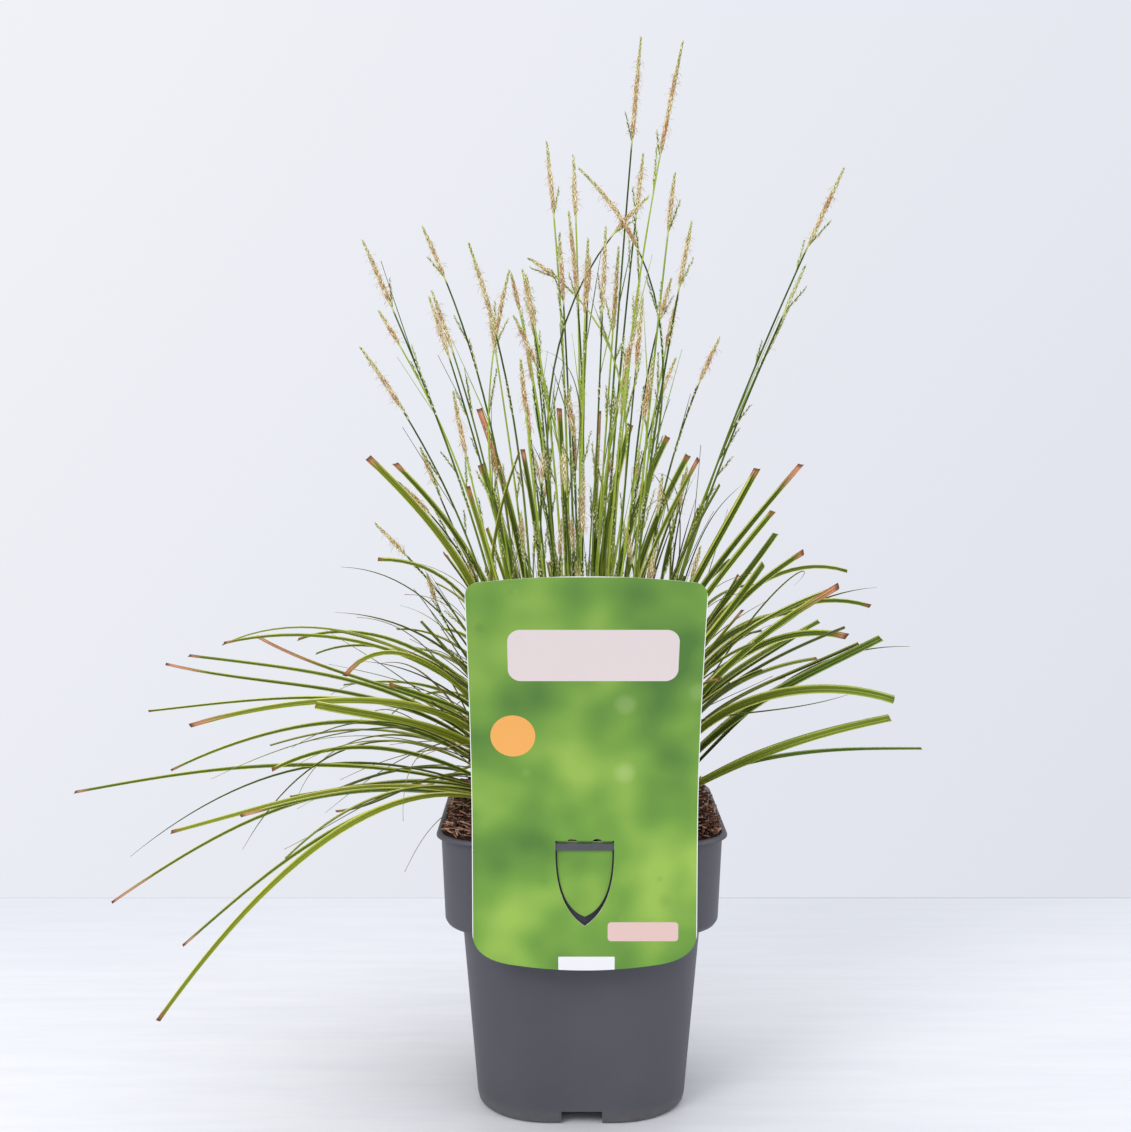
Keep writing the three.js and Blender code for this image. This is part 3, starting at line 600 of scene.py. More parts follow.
# ---- soil ----
SOIL_LUMPS = [(0.14, 3, 1.6), (0.5, 7, 0.7)]  # fineness, layer of the noise and size of each sort of lump
LITTER_STRIPS = 1700
TOP_STRIPS = 900
CRUMBS = 1600
STANDING_SHARE = 0.12  # of the topmost strips
LITTER_REACH = 2.2  # the furthest that the topmost strips reach past the wall
CRUMB_SPOTS = [(1, 0, 0), (0, 1, 0), (-1, 0, 0), (0, -1, 0), (0, 0, 1), (0, 0, -1)]
CRUMB_FACES = [(0, 1, 4), (1, 2, 4), (2, 3, 4), (3, 0, 4), (1, 0, 5), (2, 1, 5), (3, 2, 5), (0, 3, 5)]


def past_wall(x, y):
    """How far a place is beyond the cavity's wall at the soil's edge, below 0 inside the pot."""
    half = wall_half(SOIL_EDGE) - WALL
    radius = corner_radius(SOIL_EDGE) - WALL
    over_x, over_y = np.abs(x) - half + radius, np.abs(y) - half + radius
    outer = np.hypot(np.maximum(over_x, 0), np.maximum(over_y, 0))
    return outer + np.minimum(np.maximum(over_x, over_y), 0) - radius


def soil_height(x, y):
    """The soil's upper surface, domed from the wall to the crown."""
    share = min(1.0, max(0.0, -past_wall(x, y) / (wall_half(SOIL_EDGE) - WALL - CROWN_RADIUS)))
    lumps = sum(noise.noise(Vector((x * fine, y * fine, layer))) * size for fine, layer, size in SOIL_LUMPS)
    return SOIL_EDGE + SOIL_DOME * math.sin(share * math.pi / 2) + lumps


def make_soil(material):
    edge = wall_half(SOIL_EDGE) - WALL - CLEARANCE
    rings = [pot_ring(*p) for p in pot_inside(CLEARANCE)[:-1]]
    rings.append(pot_ring(edge, SOIL_EDGE - 1.5, WALL + CLEARANCE))
    for share in np.linspace(0, 0.97, 44):
        ring = pot_ring(edge, SOIL_EDGE, WALL + CLEARANCE) * [1 - share, 1 - share, 1]
        ring[:, 2] = [soil_height(x, y) for x, y, _ in ring]
        rings.append(ring)
    skin = Skin()
    skin.loft(rings)
    new_piece("soil_bed", skin, [material], ["soil"])


def on_soil(draw, nearest, furthest):
    """A drawn place on the open soil around the crown, between two distances past the wall."""
    while True:
        x, y = draw(-RIM_HALF, RIM_HALF), draw(-RIM_HALF, RIM_HALF)
        if math.hypot(x, y) > CROWN_RADIUS - 3 and nearest < past_wall(x, y) < furthest:
            return x, y


def add_strip(skin, base, length, width, tone, rise, limit, draw):
    """A strip of bark or coir, left out where it would reach further past the wall than a limit."""
    turn = draw(0, 2 * math.pi)
    heading = np.array([math.cos(turn), math.sin(turn), draw(*rise)])
    side = np.array([-math.sin(turn), math.cos(turn), draw(-0.4, 0.4)])
    lift = np.array([0, 0, 1.0])
    bend = draw(-0.12, 0.12) * length
    rings = []
    for t in np.linspace(-0.5, 0.5, 6):
        middle = base + heading * length * t + side * bend * (0.25 - t * t) * 4
        half = 0.5 * width * (1 - 1.3 * abs(t))
        thick = 0.22 + 0.15 * width
        rings.append([middle + arm for arm in (side * half, lift * thick, -side * half, -lift * thick)])
    rings = np.array(rings)
    place = np.zeros((6, 4, 3))
    place[:, :, 1] = np.linspace(0, 1, 6)[:, None]
    if past_wall(rings[:, :, 0], rings[:, :, 1]).max() < limit:
        skin.loft(rings, place, (tone, 0, 0))


def make_litter(material):
    """Strips of bark and coir, and crumbs, lying on the soil and heaped up to the rim."""
    draw = seeded(9)
    skin = Skin()
    for _ in range(LITTER_STRIPS):
        x, y = on_soil(draw, -90, -1.5)
        base = np.array([x, y, soil_height(x, y) + draw(0, 2.4)])
        add_strip(skin, base, draw(4, 16), draw(0.5, 2.1), draw(0, 1), (-0.1, 0.3), -1, draw)
    for _ in range(TOP_STRIPS):  # some of them on the wall's edge
        x, y = on_soil(draw, -9, 1.5)
        base = np.array([x, y, max(soil_height(x, y), POT_HEIGHT) + draw(0.5, 2.2)])
        rise = (0.4, 1.1) if draw(0, 1) < STANDING_SHARE else (-0.1, 0.3)
        add_strip(skin, base, draw(4, 14), draw(0.8, 3.0), draw(0.3, 1), rise, LITTER_REACH, draw)
    for _ in range(CRUMBS):
        x, y = on_soil(draw, -90, -1.5)
        size = draw(0.5, 1.5)
        middle = np.array([x, y, soil_height(x, y) + 0.3 * size])
        points = [middle + np.array(s) * size * draw(0.6, 1.3) for s in CRUMB_SPOTS]
        skin.add(points, CRUMB_FACES, kind=(draw(0, 0.55), 0, 0))
    new_piece("soil_litter", skin, [material], ["soil"])


# ---- label ----
CARD_CORNER = 10  # across each upper corner
CARD_SHOULDER = 22  # a lower corner starts this far up the side
CARD_TURN = 24  # and ends this far in along the bottom
CARD_BOW = 3  # how far the top and the bottom edge bow out
PERFORATIONS = (7.1, -7.1)  # two short slots across the tongue's fold
SLOT_HALF = 2.6
SLOT_HEIGHT = 1.1
FOLD_ON_CARD = 40


def curves(*rows):
    """The points of curves, each from a first place to a last one, drawn towards the one between."""
    points = []
    for a, b, c, steps in rows:
        row = [tuple((1 - t) ** 2 * np.array(a) + 2 * t * (1 - t) * np.array(b) + t * t * np.array(c))
               for t in np.linspace(0, 1, steps + 1)]
        points += row[1:] if points and points[-1] == row[0] else row
    return points


def card_outline():
    half, low, top = LABEL_HALF, LABEL_BOTTOM, LABEL_TOP - CARD_BOW
    flat, inner, shoulder = half - CARD_TURN, half - CARD_CORNER, low + CARD_SHOULDER
    return curves(
        ((-half, shoulder), (-half, low + 2 * CARD_BOW), (-flat, low + CARD_BOW), 12),
        ((-flat, low + CARD_BOW), (0, low - CARD_BOW), (flat, low + CARD_BOW), 24),
        ((flat, low + CARD_BOW), (half, low + 2 * CARD_BOW), (half, shoulder), 12),
        ((half, top - CARD_CORNER), (half, top), (inner, top), 10),
        ((inner, top), (0, LABEL_TOP + CARD_BOW), (-inner, top), 24),
        ((-inner, top), (-half, top), (-half, top - CARD_CORNER), 10))


def shield_outline(half, top, tip):
    sides = curves(((-half, TONGUE_SHOULDER), (-half, TONGUE_WAIST), (0, tip), 18),
                   ((0, tip), (half, TONGUE_WAIST), (half, TONGUE_SHOULDER), 18))
    return [(-half, top), *sides, (half, top)]


def opening_outline():
    points = shield_outline(TONGUE_HALF + OPENING_SIDE, OPENING_TOP, TONGUE_TIP - OPENING_DROP)
    for middle in PERFORATIONS:
        points += [(middle + SLOT_HALF * math.cos(a), OPENING_TOP + SLOT_HEIGHT * math.sin(a))
                   for a in np.linspace(0, math.pi, 9)]
    return points


def tongue_outline():
    top = OPENING_TOP + SLOT_HEIGHT
    points = shield_outline(TONGUE_HALF, top, TONGUE_TIP)
    for middle in PERFORATIONS:
        for x, z in ((1, top), (1, RIM_TOP - 0.6), (-1, RIM_TOP - 0.6), (-1, top)):
            points.append((middle + x * SLOT_HALF, z))
    return points


def inside_outline(point, outline):
    x, z = point
    within = False
    for (x0, z0), (x1, z1) in zip(outline, outline[1:] + outline[:1]):
        if (z0 > z) != (z1 > z) and x < x0 + (z - z0) / (z1 - z0) * (x1 - x0):
            within = not within
    return within


def card_depth(z):
    """How far forward the card's face lies at a height: upright below the rim, leaning out above it."""
    share = max(0.0, (z - RIM_TOP) / (LABEL_TOP + 5 - RIM_TOP))
    return LABEL_FRONT - LABEL_LEAN * share * share * (1.6 - 0.6 * share)


def tongue_depth(z):
    """From the back of the card over the rim's lip, and then down behind it."""
    share = min(1.0, max(0.0, (z - RIM_TOP + 0.3) / 1.3))
    return TONGUE_HANG + (LABEL_FRONT + 0.5 - TONGUE_HANG) * share


def add_card(skin, outline, hole, depth_at, rows):
    """A sheet with a drawn outline and perhaps a hole, bent along level rows. Its face has the first
    material, its back and cut edges the second."""
    points, edges = [], []
    for loop in (outline, hole):
        edges += [(len(points) + i, len(points) + (i + 1) % len(loop)) for i in range(len(loop))]
        points += loop
    for z in rows:
        edges.append((len(points), len(points) + 1))
        points += [(-LABEL_HALF - 1, z), (LABEL_HALF + 1, z)]
    flat = geometry.delaunay_2d_cdt([Vector(p) for p in points], edges, [], 0, 0.01)
    spots = np.array([(v.x, v.y) for v in flat[0]])
    kept = []
    for face in flat[2]:
        middle = spots[list(face)].mean(axis=0)
        if inside_outline(middle, outline) and not (hole and inside_outline(middle, hole)):
            (ax, az), (bx, bz), (cx, cz) = spots[list(face)]
            turned = (bx - ax) * (cz - az) - (bz - az) * (cx - ax) < 0
            kept.append(list(face)[::-1] if turned else list(face))
    used = sorted({i for face in kept for i in face})
    place = {old: new for new, old in enumerate(used)}
    kept = [[place[i] for i in face] for face in kept]
    front = np.array([(x + LABEL_SHIFT, depth_at(z), z) for x, z in spots[used]])
    back = front + [0, LABEL_THICKNESS, 0]
    count = len(used)
    directed = {(f[i], f[(i + 1) % 3]) for f in kept for i in range(3)}
    sides = [(a, a + count, b + count, b) for a, b in sorted(directed) if (b, a) not in directed]
    faces = kept + [[i + count for i in f[::-1]] for f in kept] + sides
    looks = [0] * len(kept) + [1] * (len(faces) - len(kept))
    skin.add(np.concatenate([front, back]), faces, looks=looks)


def make_label(face_material, card_material):
    skin = Skin()
    add_card(skin, card_outline(), opening_outline(), card_depth, np.linspace(RIM_TOP, LABEL_TOP, 40))
    add_card(skin, tongue_outline(), [], tongue_depth, np.linspace(RIM_TOP - 0.6, RIM_TOP + 1.2, 7))
    label = new_piece("label_card", skin, [face_material, card_material], ["label"])
    sharpen(label.data, FOLD_ON_CARD)


# ---- growing paths, as in the CAD ----
HANDLE = 0.38  # how far each end's slope holds on, as a share of the way from root to tip


def on_plan(azimuth, radius, z):
    angle = math.radians(azimuth)
    return np.array([radius * math.cos(angle), radius * math.sin(angle), z])


class Path:
    """A curve from root to tip in one upright plane, with its slopes at both ends in degrees above level."""

    def __init__(self, root, tip, rise, lean):
        flat = np.array([tip[0] - root[0] or 1e-6, tip[1] - root[1], 0])
        level = flat / np.linalg.norm(flat)
        handle = HANDLE * np.linalg.norm(tip - root)
        heading = lambda slope: level * math.cos(math.radians(slope)) + [0, 0, math.sin(math.radians(slope))]
        self.points = [root, root + heading(rise) * handle, tip - heading(lean) * handle, tip]
        self.side = np.array([-level[1], level[0], 0])
        self.length = np.linalg.norm(np.diff(self.at(np.linspace(0, 1, 201)), axis=0), axis=1).sum()

    def at(self, t):
        t = np.asarray(t, float)[..., None]
        a, b, c, d = self.points
        return (1 - t) ** 3 * a + 3 * t * (1 - t) ** 2 * b + 3 * t * t * (1 - t) * c + t ** 3 * d

    def along(self, t):
        t = np.asarray(t, float)[..., None]
        a, b, c, d = self.points
        slope = (1 - t) ** 2 * (b - a) + 2 * t * (1 - t) * (c - b) + t * t * (d - c)
        return slope / np.linalg.norm(slope, axis=-1, keepdims=True)

    def frame(self, t, roll=0.0):
        """Place, direction, side and upper-face direction at shares t, rolled about the path."""
        along = self.along(t)
        up = np.cross(along, self.side)
        roll = np.asarray(roll, float)[..., None]
        side = self.side * np.cos(roll) + up * np.sin(roll)
        return self.at(t), along, side, np.cross(along, side)


def straight(root, tip, side):
    path = Path(root, tip, 0, 0)
    path.points = [root, root + (tip - root) / 3, tip - (tip - root) / 3, tip]
    path.side = side
    return path


# ---- leaves ----
# As in the CAD: azimuth, reach, height of the tip, slope at the root, slope at the tip and width. Then the
# length of its browned end, and its tone from dark green at 0 to gold at 1.
STANDING_LEAVES = [
    (185, 305, 190, 21, -9, 3.7, 4, 0.5), (172, 292, 133, 22, -40, 2.3, -3, 0.05),
    (196, 246, 176, 18, -13, 5.3, 2, 0.85), (203, 210, 189, 16, -11, 4.8, 8, 0.6),
    (178, 180, 180, 18, -10, 4.2, -3, 0.3), (190, 281, 129, 18, -34, 3.7, 18, 0.5),
    (200, 242, 114, 22, -38, 4.2, 6, 0.5), (212, 268, 92, 26, -50, 4.8, 3, 0.8),
    (176, 257, 194, 50, -28, 4.2, 4, 0.65), (190, 234, 233, 75, -16, 6.1, 13, 0.8),
    (170, 282, 226, 58, -8, 3.3, 1, 0.4), (182, 252, 265, 58, 14, 3.9, 14, 0.6),
    (187, 235, 273, 57, 8, 4.2, 3, 0.5), (174, 203, 278, 66, 29, 3.9, 30, 0.5),
    (177, 221, 275, 80, -14, 3.7, 4, 0.7), (163, 245, 266, 80, -26, 3.0, 1, 0.8),
    (158, 200, 269, 82, -20, 3.5, 1, 0.5), (152, 200, 257, 82, -22, 3.0, -3, 0.3),
    (160, 172, 278, 82, 8, 3.7, -3, 0.2), (205, 150, 266, 82, -50, 3.6, 10, 0.8),
    (213, 130, 262, 80, 20, 4.8, 1, 0.5), (208, 170, 252, 65, 15, 6.1, -3, 0.8),
    (196, 188, 209, 39, -24, 3.7, 1, 0.6), (160, 163, 175, 22, -26, 3.2, 1, 0.2),
    (150, 225, 150, 40, -70, 2.4, 6, 0.3), (187, 128, 390, 84, 44, 6.6, 4, 0.8),
    (173, 115, 386, 84, 44, 5.4, 3, 0.6), (203, 128, 332, 78, 0, 4.2, 1, 0.7),
    (208, 90, 335, 78, 50, 5.0, 1, 0.6),
    (-18, 108, 384, 86, 62, 6.6, 3, 0.55), (-5, 132, 386, 84, 50, 5.2, 11, 0.6),
    (-26, 122, 360, 84, 50, 5.2, 1, 0.4), (5, 120, 343, 84, 54, 4.6, -3, 0.3),
    (-21, 113, 328, 84, 56, 6.6, -3, 0.5), (2, 136, 332, 74, 32, 4.8, 3, 0.6),
    (20, 184, 315, 80, -18, 3.2, -3, 0.7), (-25, 160, 318, 74, 33, 6.8, 16, 0.65),
    (17, 200, 305, 62, 1, 2.8, -3, 0.1), (9, 184, 296, 80, -18, 3.6, 2, 0.5),
    (24, 151, 289, 80, 3, 4.6, -3, 0.4), (-4, 161, 282, 80, -14, 5.0, 5, 0.4),
    (-8, 180, 283, 53, 28, 6.4, -3, 0.3), (-28, 196, 257, 78, -14, 6.2, -3, 0.75),
    (-20, 188, 242, 34, 15, 7.6, -3, 0.8), (-8, 205, 217, 34, 2, 3.4, -3, 0.6),
    (-1, 200, 275, 45, -2, 2.8, -3, 0.05),
    (128, 105, 384, 84, 60, 6.8, 3, 0.6), (131, 100, 420, 84, 60, 5.2, 40, 0.5),
    (124, 66, 394, 85, 70, 4.4, 5, 0.5), (103, 60, 420, 86, 74, 4.8, 4, 0.4),
    (78, 60, 418, 88, 78, 5.4, 14, 0.6), (68, 88, 410, 95, 54, 5.4, 4, 0.4),
    (50, 88, 402, 98, 50, 4.8, 2, 0.3), (46, 101, 390, 97, 50, 5.0, 2, 0.4),
    (-50, 100, 390, 95, 52, 5.2, 7, 0.65), (211, 77, 374, 85, 72, 6.0, 6, 0.8),
    (203, 102, 295, 78, 48, 4.6, -3, 0.3),
]
TRAITS = ("reach", "height", "rise", "lean", "width")
# How far to each side a kind of leaf fans out, and the range of each of its traits.
LEAF_KINDS = [
    (LEAF_WEDGE - 2.2, (58, 105), (300, 385), (82, 86), (50, 72), (2.6, 4.2)),
    (LEAF_FAN - 3, (120, 190), (255, 320), (74, 82), (-10, 30), (3.2, 5.2)),
    (LEAF_FAN - 1.6, (185, 275), (150, 228), (22, 52), (-34, -8), (3.8, 5.6)),
]
RIGHT_LOW_KIND = (LEAF_FAN - 1.6, (95, 140), (262, 305), (60, 80), (0, 40), (2.6, 4))
RIGHT_HALF_ANGLE = 78
LABEL_SHADOW = 40
WORN_SHARE = 0.12  # of the blades, with a long browned end, and of the fine ones, dead


def turn_to(angle, middle):
    return (angle - middle + 180) % 360 - 180


def in_tuft(turn, azimuth):
    return abs(turn_to(turn, azimuth)) < 180 / TUFTS


def draw_leaf(kind, draw):
    fan, *ranges = kind
    return {"turn": draw(-1, 1) * fan, **{trait: draw(*limits) for trait, limits in zip(TRAITS, ranges)}}


def leaf_list(tuft):
    azimuth = tuft * 360 / TUFTS
    draw = seeded(1000 + 37 * tuft)
    tell = seeded(4000 + tuft)  # for what the CAD doesn't draw
    leaves = []
    for turn, *values, brown, tone in STANDING_LEAVES:
        if in_tuft(turn, azimuth):
            leaf = {"turn": turn_to(turn, azimuth), "faces": math.copysign(1, on_plan(turn, 1, 0)[0])}
            leaves.append({**leaf, **dict(zip(TRAITS, values)), "brown": brown, "tone": tone})
    behind = abs(turn_to(azimuth, -90)) < LABEL_SHADOW
    for i in range(len(leaves), LEAVES_BEHIND_LABEL if behind else LEAVES_PER_TUFT):
        kind = LEAF_KINDS[i % 3]
        if kind is LEAF_KINDS[2] and abs(turn_to(azimuth, 0)) < RIGHT_HALF_ANGLE:
            kind = RIGHT_LOW_KIND
        leaf = draw_leaf(kind, draw)
        leaf["brown"] = tell(4, 12) if tell(0, 1) < WORN_SHARE else tell(-5, 3)
        leaves.append(leaf)
    for leaf in leaves:
        settle(leaf, azimuth, draw)
    return sorted(leaves, key=lambda leaf: -(leaf["height"] - CROWN_TOP) / leaf["reach"])


def stand_up(leaf, reach, height, rise, lean, draw):
    """Has a leaf stand upright behind the label instead of reaching through it."""
    leaf["turn"] *= 0.7
    leaf.update(reach=draw(*reach), height=draw(*height), rise=rise, lean=draw(*lean))


def settle(leaf, azimuth, draw):
    """Rolls and twists a leaf. A listed one shows its face to the front, and another keeps off the label."""
    from_front = abs(turn_to(azimuth + leaf["turn"], -90))
    leaf["roll"], leaf["twist"] = draw(-0.5, 0.5), draw(-0.7, 0.7)
    if "faces" in leaf:
        turned = 1.05 if leaf["faces"] > 0 or leaf["width"] > 6 else 0.5
        leaf["roll"] = leaf["faces"] * (turned + 0.5 * leaf["roll"])
        leaf["twist"] *= 0.4
    elif from_front <= LABEL_SHADOW:
        stand_up(leaf, (55, 98), (262, 318), 84, (62, 76), draw)


WIDE_BLADE = np.array([-1, -0.62, -0.28, 0, 0.28, 0.62, 1])
SLIM_BLADE = np.array([-1, 0, 1])
POINTED_BELOW = 3  # narrower blades are drawn out to a point
SLIM_BELOW = 2.2  # narrower ones have the slim blade's fewer points
# A blade's width at its root and at its end, as shares of its full width, which it has at the place WIDEST.
ROOT_SHARE = 0.55
POINTED_END, LONG_END, BLUNT_END = 0.12, 0.6, 0.8
WIDEST = 0.4
BLADE_STEPS = 26
SHORT_STEPS = 10
SHORT_REACH = 70
SHORT_HEIGHT = 216
LOW_TIP = 250  # blades with a lower tip are yellower


def add_blade(skin, path, leaf, look, steps=BLADE_STEPS):
    """A blade with its keel below and its groove above, cut blunt or drawn out to a point."""
    width = leaf["width"]
    pointed = width < POINTED_BELOW
    upper = SLIM_BLADE if width < SLIM_BELOW else WIDE_BLADE
    order = [(a, 0) for a in upper[::-1]] + [(a, 1) for a in upper[1:-1]]
    t = np.linspace(0, 1, steps + 1)
    middle, along, side, up = path.frame(t, leaf["roll"] + leaf["twist"] * t)
    end = POINTED_END if pointed else LONG_END if leaf.get("reach", 0) > LONG_REACH else BLUNT_END
    growth = (1 - ROOT_SHARE) / WIDEST
    share = np.where(t < WIDEST, ROOT_SHARE + growth * t, 1 + (end - 1) * (t - WIDEST) / (1 - WIDEST))
    if pointed:
        share = np.where(t > 0.9, share * (1 - (t - 0.9) * 7), share)
    half = 0.5 * width * share
    keel = 0.9 * KEEL * width * share * (1 - 0.35 * t)
    thick = np.maximum(0.32, 0.13 * width * share)
    sway = leaf.get("sway", 0) * np.sin(np.pi * t) * np.sin(leaf.get("phase", 0) + 5 * t)
    middle = middle + side * sway[:, None]
    rings, places = [], []
    for a, drop in order:
        depth = -(keel - 0.3 * thick) * (1 - abs(a)) ** 0.9 - drop * thick * (1 - 0.3 * abs(a))
        ring = middle + side * (a * half)[:, None] + up * depth[:, None]
        ring[-1] += along[-1] * leaf.get("cut", 0) * a * half[-1]
        rings.append(ring)
        places.append(np.stack([np.full_like(t, a), t, (1 - t) * path.length], 1))
    skin.loft(np.stack(rings, 1), np.stack(places, 1), look, upper=len(upper))


# Slim blades and dead ones that fill a tuft between its main blades.
FINE_KINDS = [
    (LEAF_FAN, (50, 100), (290, 395), (82, 87), (45, 78), (1.4, 3.0)),
    (LEAF_FAN, (95, 175), (245, 330), (68, 82), (0, 50), (1.3, 2.9)),
    (LEAF_FAN, (60, 150), (210, 300), (50, 76), (-25, 25), (1.0, 2.4)),
    (LEAF_FAN, (140, 240), (130, 235), (22, 60), (-60, -10), (1.0, 2.6)),
]
STUB_KIND = (LEAF_FAN, (52, 70), (190, 215), (60, 85), (-10, 60), (2.2, 5))
FINE_PER_TUFT = 12
FINE_ON_RIGHT = 7
STUBS_PER_TUFT = 12


def fine_leaves(tuft):
    azimuth = tuft * 360 / TUFTS
    draw = seeded(3000 + 13 * tuft)
    on_right = abs(turn_to(azimuth, 0)) < RIGHT_HALF_ANGLE
    for i in range(FINE_ON_RIGHT if on_right else FINE_PER_TUFT):
        leaf = draw_leaf(FINE_KINDS[i % (2 if on_right else len(FINE_KINDS))], draw)
        leaf["roll"], leaf["twist"] = draw(-0.8, 0.8), draw(-1.2, 1.2)
        if abs(turn_to(azimuth + leaf["turn"], -90)) <= LABEL_SHADOW + 4:
            stand_up(leaf, (40, 92), (250, 345), 85, (60, 80), draw)
        leaf.update(brown=draw(0, 6), dry=0.9 if draw(0, 1) < WORN_SHARE else 0.0)
        leaf["root"] = draw(ROOT_INNER - 4, ROOT_OUTER)
        # No fine blade turns up again at its tip.
        straight_up = math.degrees(math.atan2(leaf["height"] - CROWN_TOP, leaf["reach"] - leaf["root"]))
        leaf["lean"] = min(leaf["lean"], straight_up)
        yield leaf
    for _ in range(STUBS_PER_TUFT):  # the bases of old leaves round the crown's foot
        leaf = draw_leaf(STUB_KIND, draw)
        leaf.update(roll=draw(-0.6, 0.6), twist=draw(-0.5, 0.5), brown=draw(3, 12))
        leaf.update(dry=draw(0.3, 1), root=draw(44, 55))
        yield leaf


# Fine blades that have fallen out of line: azimuth at the crown, then three places that draw each on to its
# tip as (x, y, z), its width, its tone and how dry it is.
LOOSE_LEAVES = [
    (196, (-108, -30, 252), (-166, -40, 221), (-199, -50, 161), 2.2, 0.3, 0),
    (204, (-91, -50, 250), (-105, -60, 216), (-103, -66, 182), 0.8, 0.9, 0.3),
    (212, (-76, -70, 204), (-90, -75, 179), (-101, -80, 156), 0.7, 0.1, 0.4),
    (190, (-84, -30, 263), (-99, -30, 273), (-121, -30, 268), 1.8, 0.2, 0.7),
    (-10, (106, -20, 329), (151, -10, 333), (127, -20, 314), 1.5, 0.6, 0),
    (-6, (65, -10, 364), (52, -10, 378), (35, -10, 385), 1.2, 0.8, 0),
    (4, (58, 10, 336), (79, 10, 357), (100, 10, 374), 1.1, 0.1, 0),
    (100, (2, 0, 412), (12, 0, 452), (-31, 0, 455), 1.0, 0.7, 0),
    (112, (-22, 40, 300), (-24, 50, 345), (-40, 50, 389), 2.0, 0.2, 0.95),
    (92, (4, 50, 300), (-16, 50, 350), (-3, 50, 384), 2.1, 0.2, 0.95),
    (204, (-66, -20, 300), (-54, -20, 350), (-37, -20, 393), 3.1, 0.8, 0),
    (170, (-6, 0, 320), (-15, 0, 378), (-32, 0, 401), 1.9, 0.1, 0),
    (4, (64, 0, 330), (67, 0, 380), (46, 0, 380), 1.3, 0.1, 0),
    (10, (12, 0, 330), (36, 0, 376), (58, 0, 363), 1.5, 0.8, 0),
]
LOOSE_ROOT = 40


def loose_leaves(tuft):
    azimuth = tuft * 360 / TUFTS
    for turn, leave, arrive, tip, width, tone, dry in LOOSE_LEAVES:
        if in_tuft(turn, azimuth):
            root = on_plan(turn, LOOSE_ROOT, CROWN_TOP - ROOT_DEPTH)
            path = Path(root, np.array(tip, float), 45, 0)
            path.points[1:3] = np.array(leave, float), np.array(arrive, float)
            yield path, dict(width=width, roll=0.4, twist=0.8), (tone, 3, dry)


def make_tuft(tuft, materials):
    azimuth = tuft * 360 / TUFTS
    draw = seeded(6000 + tuft)
    skin = Skin()
    leaves = leaf_list(tuft)
    for i, leaf in enumerate(leaves):
        leaf["root"] = ROOT_INNER + (ROOT_OUTER - ROOT_INNER) * i / (len(leaves) - 1)
    for leaf in leaves + list(fine_leaves(tuft)):
        root = on_plan(azimuth + 0.5 * leaf["turn"], leaf["root"], CROWN_TOP - ROOT_DEPTH)
        tip = on_plan(azimuth + leaf["turn"], leaf["reach"], leaf["height"])
        leaf.update(sway=draw(-1.6, 1.6), phase=draw(0, 3), cut=draw(-0.5, 0.5))
        tone = draw(0.35, 1.0) if leaf["height"] < LOW_TIP else draw(0.0, 0.85)
        short = leaf["reach"] < SHORT_REACH and leaf["height"] < SHORT_HEIGHT
        steps = SHORT_STEPS if short else BLADE_STEPS
        look = (leaf.get("tone", tone), leaf["brown"], leaf.get("dry", 0))
        add_blade(skin, Path(root, tip, leaf["rise"], leaf["lean"]), leaf, look, steps)
    for path, leaf, look in loose_leaves(tuft):
        add_blade(skin, path, leaf, look)
    node = f"leaf_tuft_{tuft + 1:02d}"
    new_piece(f"{node}_blades", skin, materials, [node])


# ---- flower stems ----
# As in the CAD: azimuth, reach, height, slope at the root, slope at the tip and length of the spike. A
# seventh number tells how fresh the spike is, from 0 in full flower to 1 green and shut.
CENTRE_STEMS = [
    (10, 36, 640, 87, 85, 57), (-5, 60, 635, 87, 78, 63), (40, 50, 575, 85, 81, 35),
    (150, 24, 579, 87, 83, 40), (100, 27, 573, 88, 76, 36), (130, 12, 538, 89, 79, 52),
    (200, 14, 522, 89, 86, 36), (300, 28, 525, 87, 86, 45), (20, 24, 516, 88, 86, 47),
    (170, 43, 500, 85, 76, 21), (215, 41, 496, 85, 75, 27), (190, 41, 474, 84, 62, 29),
    (160, 36, 462, 85, 80, 25), (80, 32, 512, 87, 70, 22), (330, 38, 470, 86, 72, 30),
    (250, 22, 430, 86, 76, 24), (60, 22, 402, 87, 78, 24), (188, 2, 562, 97, 42, 62),
]
SIDE_STEMS = [
    (166, 100, 530, 84, 64, 31), (194, 131, 516, 82, 66, 39), (170, 126, 479, 80, 57, 23),
    (142, 124, 492, 81, 66, 39), (191, 90, 488, 84, 70, 33), (220, 84, 512, 84, 66, 49),
    (141, 74, 481, 85, 78, 26), (195, 133, 454, 80, 54, 40), (-37, 78, 524, 86, 77, 34),
    (38, 76, 451, 84, 60, 28), (13, 87, 462, 84, 63, 27), (-13, 155, 557, 80, 65, 45),
    (218, 93, 428, 82, 78, 34), (166, 132, 347, 76, 42, 25), (143, 130, 394, 80, 64, 25),
    (168, 116, 374, 80, 40, 27), (-39, 68, 552, 86, 82, 30), (12, 60, 487, 86, 76, 30),
    (-13, 133, 501, 80, 66, 26, 0.8), (-12, 124, 478, 82, 64, 30, 0.8),
]
